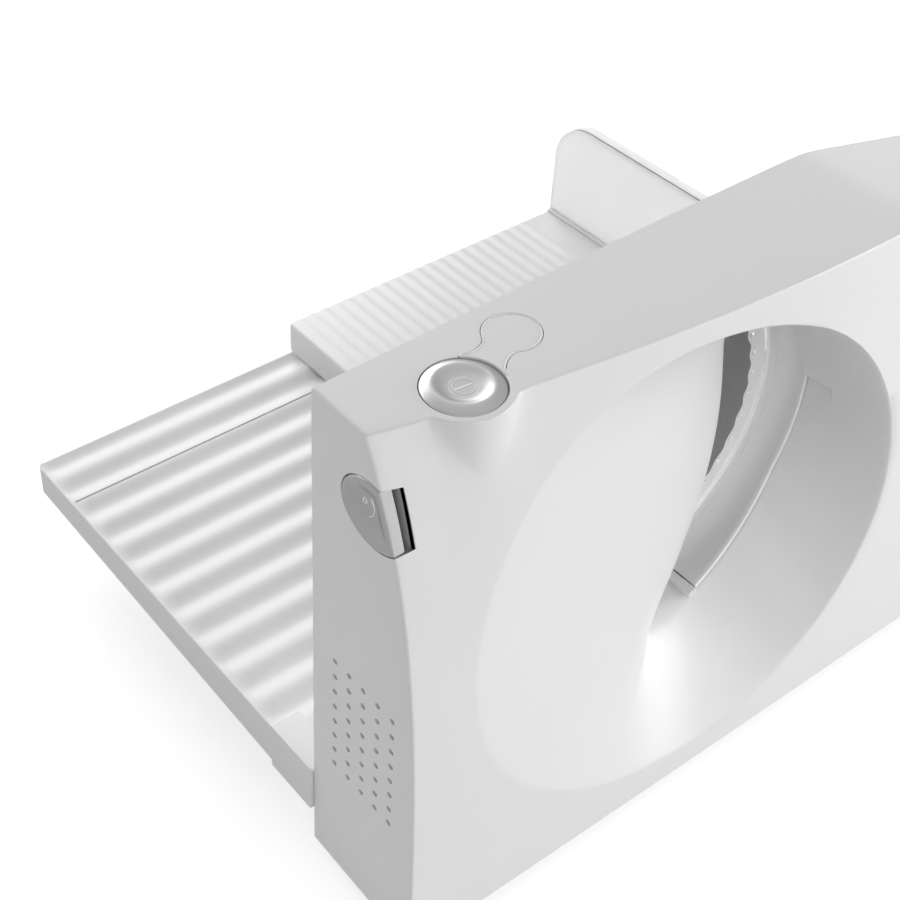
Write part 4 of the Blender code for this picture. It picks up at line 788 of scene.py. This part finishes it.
def makeBlade():
    # the ground edge starts on a wavy line, with a round dimple in each of its lobes
    each = 18
    steps = blade["scallops"] * each
    angles = [tau * (k - each / 2) / steps for k in range(steps)]
    shares = (0, 0.06, 0.10, 0.14, 0.18, 0.22, 0.26, 0.30, 0.34, 0.38, 0.55, 0.80, 0.97, 1.0)
    edge, dimple = blade["radius"], blade["dimple"]

    def bevelRing(share):
        ring = []
        for k, angle in enumerate(angles):
            start = blade["ground"] - blade["wave"] * ((1 + cos(tau * k / each)) / 2)
            reach = start + (edge - start) * share
            across = ((k + each / 2) % each - each / 2) / steps * tau * reach
            dent = 1 - (across / dimple) ** 2 - ((reach - start - blade["dimpleIn"]) / dimple) ** 2
            front = blade["thickness"] - (blade["thickness"] - 0.3) * share
            front -= blade["dimpleDeep"] * dent if dent > 0 else 0
            ring.append(around(reach, angle, blade["depth"] + front))
        return ring

    def flatRing(radius, depth):
        return [around(radius, angle, depth) for angle in angles]

    rings = [flatRing(radius, blade["depth"] + blade["thickness"]) for radius in (0, 6.3, 20, 45, 66, 71)]
    rings += [bevelRing(share) for share in shares]
    rings += [flatRing(radius, blade["depth"]) for radius in (edge, 40, 0)]
    piece = skinPiece("bladeDisc", rings, bladeFlat, 25, "open")
    piece.data.materials.append(bladeBevel)
    piece.data.materials.append(bladeDimple)
    centre = at(blade["along"], blade["depth"], blade["height"])
    for face in piece.data.polygons:
        spot = face.center - centre
        angle = atan2(spot.z, spot.x) * blade["scallops"]
        start = blade["ground"] - blade["wave"] * (1 - cos(angle)) / 2
        past = hypot(spot.x, spot.z) / mm - start
        across = (angle - pi) % tau
        across = min(across, tau - across) / blade["scallops"] * edge
        if past > 0 and face.normal.y < 0.3:
            face.material_index = 2 if hypot(across, past - blade["dimpleIn"]) < dimple else 1
    return piece


bladePiece = makeBlade()
settle(bladePiece, "blade", "blade_steel", "blade_disc")
print("blade done:", len(bladePiece.data.polygons), "faces")

# Fence: flat plate and its curved flange, bent in one piece

def fenceOutline():
    angles = sweepAngles(fence["first"] + fence["start"], fence["last"], 128)
    points = [ringSpot(fence["lip"], angle) for angle in angles]
    return points + [(points[-1][0], fence["top"]), (fence["bend"], fence["top"]),
                     (fence["far"], topLevel(fence["far"]) - fence["below"]), (fence["far"], fence["foot"]),
                     (points[0][0], fence["foot"])]


inner, outer, back = fence["inner"], fence["inner"] + fence["thickness"], fence["depth"]
platePoints = slab("fencePlate", fenceOutline(), depths(back, back + fence["thickness"]), 0.3, fenceMetal, 2)
flangeRings = []
for angle in sweepAngles(fence["first"], fence["last"], 160):
    lip = flangeDepth(angle)
    section = [(inner + 1.4, back), (inner + 0.5, back + 0.25), (inner + 0.1, back + 0.8),
               (inner, back + 1.8), (inner, back + 5), (inner, lip - 3), (inner, lip - 0.6),
               (inner + 0.25, lip - 0.15), (inner + 0.8, lip), (outer - 0.6, lip), (outer - 0.15, lip - 0.2),
               (outer, lip - 0.7), (outer, lip - 4), (outer, back + 1), (outer, back)]
    flangeRings.append([around(r, angle, d) for r, d in section])
flangePiece = skinPiece("fenceFlange", flangeRings, fenceMetal, 50)
fencePiece = joined("fencePlate", [platePoints, flangePiece])
settle(fencePiece, "fence", "aluminium", "fence_plate")
print("fence done")

# Tray: a corrugated sheet whose waves run up to its near edge

tray = {"near": -4.0, "length": 380.0, "gap": 0.6, "reach": 235.0, "top": 51.5, "first": 22.5, "pitch": 19.46,
        "ribs": 12, "depth": 2.6, "fade": 1.6, "slot": 199.2, "slotWidth": 1.1, "slotMargin": 2.0,
        "slotDeep": 4.4, "skirtOut": 16.0, "skirtIn": 23.5, "wall": 2.5, "sheet": 4.9, "edge": 0.7,
        "lug": 26.5, "lugFar": 10.9, "lugOut": 29.6, "lugIn": 0.4, "corner": 5.0, "taper": 2.6}


def makeTraySheet():
    # a grid whose height follows a rounded wave across it
    edge = tray["edge"]
    lengths = {"Size X": tray["length"] - 2 * edge, "Size Y": tray["reach"] - tray["gap"] - 2 * edge,
               "Pitch": tray["pitch"], "First Ridge": tray["first"],
               "Last Ridge": tray["first"] + (tray["ribs"] - 1) * tray["pitch"], "Depth": tray["depth"],
               "Fade": tray["fade"]}
    values = {label: ("Float", length * mm) for label, length in lengths.items()}
    tree, size = openTree("corrugatedSheet", values)
    grid = addNode(tree, "GeometryNodeMeshGrid", {"Size X": size["Size X"], "Size Y": size["Size Y"],
                                                  "Vertices X": 96, "Vertices Y": 321})
    place = addNode(tree, "GeometryNodeInputPosition")
    spot = addNode(tree, "ShaderNodeSeparateXYZ", {"Vector": place.outputs[0]}).outputs
    across = compute(tree, "ADD", spot["Y"], compute(tree, "MULTIPLY", size["Size Y"], 0.5))
    inside = addNode(tree, "ShaderNodeClamp", {"Value": across, "Min": size["First Ridge"],
                                               "Max": size["Last Ridge"]})
    past = compute(tree, "SUBTRACT", inside.outputs[0], size["First Ridge"])
    waves = compute(tree, "DIVIDE", past, size["Pitch"])
    wave = compute(tree, "COSINE", compute(tree, "MULTIPLY", waves, tau))
    trough = compute(tree, "MULTIPLY_ADD", -0.5, wave, 0.5)
    away = compute(tree, "ABSOLUTE", spot["X"])
    room = compute(tree, "SUBTRACT", compute(tree, "MULTIPLY", size["Size X"], 0.5), away)
    fade = remap(tree, room, 0.0, 1.0, fromHigh=size["Fade"], interpolation_type="SMOOTHSTEP")
    drop = compute(tree, "MULTIPLY", compute(tree, "MULTIPLY", trough, fade), size["Depth"])
    offset = addNode(tree, "ShaderNodeCombineXYZ", {"Z": compute(tree, "MULTIPLY", drop, -1.0)})
    moved = addNode(tree, "GeometryNodeSetPosition", {"Geometry": grid.outputs[0], "Offset": offset.outputs[0]})
    return runTree("traySheet", tree, values, moved.outputs[0], trayPlastic)


def makeTray():
    near, length, reach, top, edge = tray["near"], tray["length"], tray["reach"], tray["top"], tray["edge"]
    sheet = makeTraySheet()
    middle = out(near + length / 2, (reach + tray["gap"]) / 2, top)
    sheet.data.transform(Matrix.Translation(middle))
    shape = bmesh.new()
    shape.from_mesh(sheet.data)
    shape.normal_update()
    half = [(length / 2 - edge) * mm, ((reach - tray["gap"]) / 2 - edge) * mm]
    wallPlace, feedPlace = out(0, 0, 0).y, out(0, reach, 0).y

    def pull(edges, level, widen):
        # a new row of edges, pushed outwards by widen and set to the height that level() gives
        new = bmesh.ops.extrude_edge_only(shape, edges=edges)["geom"]
        verts = [v for v in new if isinstance(v, bmesh.types.BMVert)]
        for v in verts:
            for side in (0, 1):
                away = v.co[side] - middle[side]
                if abs(abs(away) - half[side]) < 0.01 * mm:
                    v.co[side] += widen * mm * (1 if away > 0 else -1)
            v.co.z = level(v)
        for side in (0, 1):
            half[side] += widen * mm
        return [e for e in new if isinstance(e, bmesh.types.BMEdge) and all(v in verts for v in e.verts)]

    def skirtFoot(v):
        share = (v.co.y - feedPlace) / (wallPlace - feedPlace)
        return (top - tray["skirtOut"] - (tray["skirtIn"] - tray["skirtOut"]) * share) * mm

    edges = [e for e in shape.edges if e.is_boundary]
    for i in range(4):
        a, b = pi / 8 * i, pi / 8 * (i + 1)
        fall = (cos(b) - cos(a)) * edge * mm
        edges = pull(edges, lambda v: v.co.z + fall, (sin(b) - sin(a)) * edge)
    edges = pull(edges, skirtFoot, 0.0)
    edges = pull(edges, skirtFoot, -tray["wall"])
    edges = pull(edges, lambda v: (top - tray["sheet"]) * mm, 0.0)
    bmesh.ops.contextual_create(shape, geom=edges)
    turnOutwards(shape)
    shape.to_mesh(sheet.data)
    shape.free()
    margin, half = tray["slotMargin"], tray["slotWidth"] / 2
    slotOutline = rectangle(near + margin, near + length - margin, tray["slot"] - half, tray["slot"] + half)
    cutWith(sheet, [slab("traySlot", slotOutline, heights(top - tray["slotDeep"], top + 5), 0, None)], 40)
    lugOutline = rectangle(near + 0.03, tray["lugFar"], tray["gap"] + tray["lugIn"], tray["lugOut"])
    lug = slab("trayLug", lugOutline, heights(top - tray["lug"], top + 0.4), 0.5, trayPlastic)
    cutWith(sheet, [lug], 40, "UNION")
    corners = []
    radius = tray["corner"]
    for along, inward in ((near, 1), (near + length, -1)):
        arc = [(along + inward * radius * (1 - cos(a)), reach - radius * (1 - sin(a)))
               for a in sweepAngles(0, 90, 12)]
        outline = arc + [(along + inward * radius, reach + 4), (along - inward * 4, reach + 4),
                         (along - inward * 4, reach - radius)]
        corners.append(slab("trayCorner", outline, heights(20, 60), 0, None))
    cutWith(sheet, corners, 40)
    for vertex in sheet.data.vertices:  # the near end draws in a little towards the wall
        along = (vertex.co.x - at(near, 0, 0).x) / (length * mm)
        across = (vertex.co.y - wallPlace) / (feedPlace - wallPlace)
        vertex.co.x += tray["taper"] * mm * (1 - along) * (1 - across)
    return joined("feedTray", [sheet])


trayPiece = makeTray()
settle(trayPiece, "slicer_body", "white_plastic", "tray")
print("tray done:", len(trayPiece.data.polygons), "faces")

# Carriage: a milky deck with fine ribs, and the frosted push plate

deck = {"near": 152.2, "length": 188.4, "inner": 0.8, "outer": 235.0, "foot": 52.1, "top": 71.2,
        "ribHigh": 0.34, "pitch": 8.0, "plain": 16.0, "lead": 2.0, "edge": 1.6, "wall": 3.0}
plate = {"near": 340.9, "thickness": 9.0, "top": 133.2, "corner": 24.0, "leaf": 1.3, "groove": 0.9,
         "grooveDeep": 1.1}
deckFar, inner, outer, foot = deck["near"] + deck["length"], deck["inner"], deck["outer"], deck["foot"]


def deckOutline():
    # the end view: flat sides and base, soft ribs on top
    level = deck["top"] - deck["ribHigh"]
    points = [(deck["near"], foot), (deckFar, foot), (deckFar, level)]
    count = int((deck["length"] - deck["plain"]) / deck["pitch"])
    first = deck["near"] + deck["lead"]
    for i in range(count * 12, -1, -1):
        wave = (1 - cos(tau * i / 12)) / 2
        points.append((first + i * deck["pitch"] / 12, level + deck["ribHigh"] * wave))
    return points + [(deck["near"], level)]


def plateOutline(inset):
    right, top, corner = outer - inset, plate["top"] - inset, plate["corner"] - inset
    arc = [(right - corner + corner * cos(a), top - corner + corner * sin(a)) for a in sweepAngles(90, 0, 24)]
    return [(inner + inset, foot), (inner + inset, top)] + arc + [(right, foot)]


deckPiece = slab("carriageDeck", deckOutline(), depths(inner, outer, out), deck["edge"], deckPlastic, 3, 50)
wall = deck["wall"]
hollow = slab("deckHollow", rectangle(deck["near"] + wall, deckFar - wall, inner + wall, outer - wall),
              heights(foot - 4, deck["top"] - 4.5), 0, None)
cutWith(deckPiece, [hollow], 50)
settle(deckPiece, "carriage", "frosted_plastic", "carriage_deck")

leaf, deep, thick = plate["leaf"], plate["grooveDeep"], plate["thickness"]
grooveEnd = leaf + plate["groove"]
plateRings = [[out(plate["near"] + place, a, b) for a, b in plateOutline(inset)]
              for place, inset in ((0.0, 0.45), (0.12, 0.18), (0.4, 0.0), (leaf, 0.0), (leaf + 0.05, deep),
                                   (grooveEnd, deep), (grooveEnd + 0.05, 0.0), (thick - 1.2, 0.0),
                                   (thick - 0.4, 0.3), (thick, 1.1))]
plateBody = skinPiece("plateBody", plateRings, platePlastic, 35)
plateBody.data.materials.append(grooveShadePlastic)
# painted shade: the groove faces between the front leaf and the body get the darker grey in place of the
# groove's shadow
seam = out(plate["near"] + leaf + plate["groove"] / 2, 0, 0).x
for face in plateBody.data.polygons:
    face.material_index = 1 if abs(face.center.x - seam) < (plate["groove"] / 2 + 0.06) * mm else 0
ledge = [(inner + 0.5, deck["top"] - 0.6), (inner + 0.5, deck["top"] + 1.2), (outer - 0.6, deck["top"] + 1.2),
         (outer - 0.6, deck["top"] - 0.6)]
bead = slab("plateLedge", ledge, alongs(plate["near"] - 2.2, plate["near"] + 1, out), 0.5, deckPlastic)
platePiece = joined("pushPlate", [plateBody, bead])
settle(platePiece, "carriage", "frosted_plastic", "push_plate")
print("carriage done")

# Thickness knob with a grip bar, and scale marks round its dish

knobBase = seat + knob["seatGap"]
knobAlong, knobHeight, knobTop = knob["along"], knob["height"], knobBase + knob["tall"]
knobProfile = [(0, 0), (21.0, 0), (21.7, 0.3), (22.0, 1.0), (22.0, 5.2), (21.8, 6.6), (21.2, 8.2),
               (20.4, 9.3), (19.6, 9.8), (18.6, 10.0), (17.6, 9.8), (16.8, 9.2), (15.8, 8.9), (0, 8.9)]
knobCentre = at(knobAlong, knobBase, knobHeight)
knobPiece = turned("thicknessKnob", knobProfile, knobCentre, (0, -1, 0), acrylonitrile, 120, 50)
gripOutline = [(knobAlong + (4.3 + 0.9 * cos(a * 2 + pi)) * cos(a), knobHeight + 18.2 * sin(a))
               for a in turns(64)]
grip = slab("knobGrip", gripOutline, depths(knobBase + 5, knobTop), 1.6, acrylonitrile, 5)
pointer = slab("knobPointer", rectangle(knobAlong - 0.5, knobAlong + 0.5, knobHeight + 8, knobHeight + 15.5),
               depths(knobTop - 0.4, knobTop), 0.1, markPaint, 2)
knobPiece = joined("thicknessKnob", [knobPiece, grip, pointer])
settle(knobPiece, "knob", "white_plastic", "thickness_knob")

scale = {"marks": 16, "first": 120, "sweep": 300, "inner": 27.5, "short": 29.8, "long": 31.5, "half": 0.3}
onShell = [lambda a, b, rise=rise: at(a, faceDepth(a, b) + rise, b) for rise in (-0.3, 0.04)]
marks = []
for k in range(scale["marks"]):
    angle = radians(scale["first"] + scale["sweep"] * k / (scale["marks"] - 1))
    end = scale["long"] if k % 5 == 0 else scale["short"]
    direction = Vector((cos(angle), sin(angle)))
    side = Vector((-direction.y, direction.x)) * scale["half"]
    corners = [Vector((knobAlong, knobHeight)) + direction * reach + side * sign
               for reach, sign in ((scale["inner"], 1), (end, 1), (end, -1), (scale["inner"], -1))]
    marks.append(slab("scaleMark", corners, onShell, 0, markPaint))
scalePiece = joined("thicknessScale", marks)
settle(scalePiece, "slicer_body", "grey_plastic")
print("knob done")

# Screws in the rear cover

screw = {"radius": 3.0, "high": 0.8}
radius, high = screw["radius"], screw["high"]
screwProfile = [(0, -1.0), (radius * 0.6, -1.0), (radius, 0), (radius, high * 0.35),
                (radius * 0.86, high * 0.8), (radius * 0.55, high), (radius * 0.42, high), (0, high * 0.35)]
screwPlaces = ((16, 20), (16, 240), (120, 246), (232, 246), (356, 216), (356, 20), (200, 20))
coverScrews = [turned("coverScrew", screwProfile, at(along, 0.9, height), (0, 1, 0), zincSteel, 32, 40)
               for along, height in screwPlaces]
screwsPiece = joined("coverScrews", coverScrews)
settle(screwsPiece, "slicer_body", "plain_steel")

# CAD nodes whose shape is right get their real finish

finishes = {acrylonitrile: ("rear_cover", "base_beam", "base_arm_near", "base_arm_far"),
            aluminiumRaw: ("drive_plate", "slide_rail"),
            zincSteel: ("axle_bridge", "blade_axle", "motor_can", "motor_bracket", "motor_shaft", "worm",
                        "knob_spindle", "fence_guide_near", "fence_guide_far"),
            satinButton: ("hub_cap",),
            sinteredBronze: ("hub_bush", "motor_bearing", "worm_bearing"),
            nylon: ("gear_wheel",),
            greyPlastic: ("fence_carrier", "guide_shoe", "power_stem", "lock_stem", "switch_shelf",
                          "terminal_block", "cooling_fan"),
            blackPlastic: ("power_switch", "cord_inlet"),
            rubber: ("foot_front_near", "foot_front_far", "foot_rear_near", "foot_rear_far")}
for material, names in finishes.items():
    for name in names:
        nodes[name].data.materials.clear()
        nodes[name].data.materials.append(material)
print("finishes set")

# Floor, light and camera

studio = {"floor": 6.0, "world": 0.23, "shine": 0.9, "glow": 0.70, "glowFrom": 0.35, "glowTo": 1.3,
          "paper": "#bababa", "target": (0, 0, 0.12)}
panels = {  # place and size in metres, power in watts
    "rightPanel": {"place": (1.3, -1.1, 0.5), "size": (1.0, 0.8), "watts": 16},
    "frontPanel": {"place": (0.2, -1.9, 0.75), "size": (1.2, 0.9), "watts": 6.9},
    "cornerPanel": {"place": (-1.2, -1.5, 1.0), "size": (1.0, 0.9), "watts": 5.8},
    "topPanel": {"place": (0.3, 0.3, 1.7), "size": (1.4, 1.4), "watts": 2.6},
    "backPanel": {"place": (0.1, 1.6, 0.9), "size": (2.0, 0.8), "watts": 27},
    "leftPanel": {"place": (-1.6, 0.3, 0.8), "size": (1.2, 1.0), "watts": 1.2},
    "lowPanel": {"place": (-1.0, -0.7, 0.16), "size": (1.0, 0.24), "watts": 0.6}}
points = [Vector((x, y, 0)) * studio["floor"] for x, y in rectangle(-1, 1, -1, 1)]
floor = newPiece("studioFloor", points, [(0, 1, 2, 3)], None, keepNormals=True)
paper = bpy.data.materials.new("whitePaper")  # plain white to the camera and in gloss, but it keeps the shadow
paper.use_nodes = True
tree = paper.node_tree
tree.nodes.clear()
path = addNode(tree, "ShaderNodeLightPath").outputs
seen = compute(tree, "MAXIMUM", path["Is Camera Ray"], path["Is Glossy Ray"])
seen = compute(tree, "MAXIMUM", seen, path["Is Transmission Ray"])
spot = addNode(tree, "ShaderNodeTexCoord")
away = addNode(tree, "ShaderNodeVectorMath", {0: spot.outputs["Object"]}, operation="LENGTH")
white = remap(tree, away.outputs["Value"], studio["glow"], 1.0, studio["glowFrom"], studio["glowTo"])
matte = addNode(tree, "ShaderNodeBsdfDiffuse", {"Color": linearColour(studio["paper"])})
strength = compute(tree, "MULTIPLY", seen, white)
glow = addNode(tree, "ShaderNodeEmission", {"Color": (1, 1, 1, 1), "Strength": strength})
both = addNode(tree, "ShaderNodeAddShader", {0: matte.outputs[0], 1: glow.outputs[0]})
addNode(tree, "ShaderNodeOutputMaterial", {"Surface": both.outputs[0]})
floor.data.materials.append(paper)

world = bpy.data.worlds.new("studio")
scene.world = world
world.use_nodes = True
tree = world.node_tree
tree.nodes.clear()
path = addNode(tree, "ShaderNodeLightPath").outputs
seen = compute(tree, "MAXIMUM", path["Is Camera Ray"], path["Is Transmission Ray"])
dim = remap(tree, path["Is Glossy Ray"], studio["world"], studio["shine"])
sky = addNode(tree, "ShaderNodeBackground", {"Color": (1, 1, 1, 1), "Strength": remap(tree, seen, dim, 1.0)})
addNode(tree, "ShaderNodeOutputWorld", {"Surface": sky.outputs[0]})

for name, panel in panels.items():
    lamp = bpy.data.lights.new(name, "AREA")
    lamp.shape = "RECTANGLE"
    lamp.size, lamp.size_y = panel["size"]
    lamp.energy = panel["watts"]
    softbox = newObject(name, lamp)
    softbox.location = panel["place"]
    softbox.rotation_euler = (Vector(studio["target"]) - softbox.location).to_track_quat("-Z", "Y").to_euler()

lens = bpy.data.cameras.new("photoCamera")
lens.sensor_width = 36
lens.lens = 64.4
lens.shift_x = 0.138
lens.shift_y = -0.070
lens.clip_start = 0.01
cameraPiece = newObject("photoCamera", lens)
cameraPiece.location = at(-238.1, 336.0, 601.8)
cameraPiece.rotation_euler = (radians(50.2), 0, radians(-36))
scene.camera = cameraPiece
scene.view_settings.view_transform = "Standard"
print("studio ready")
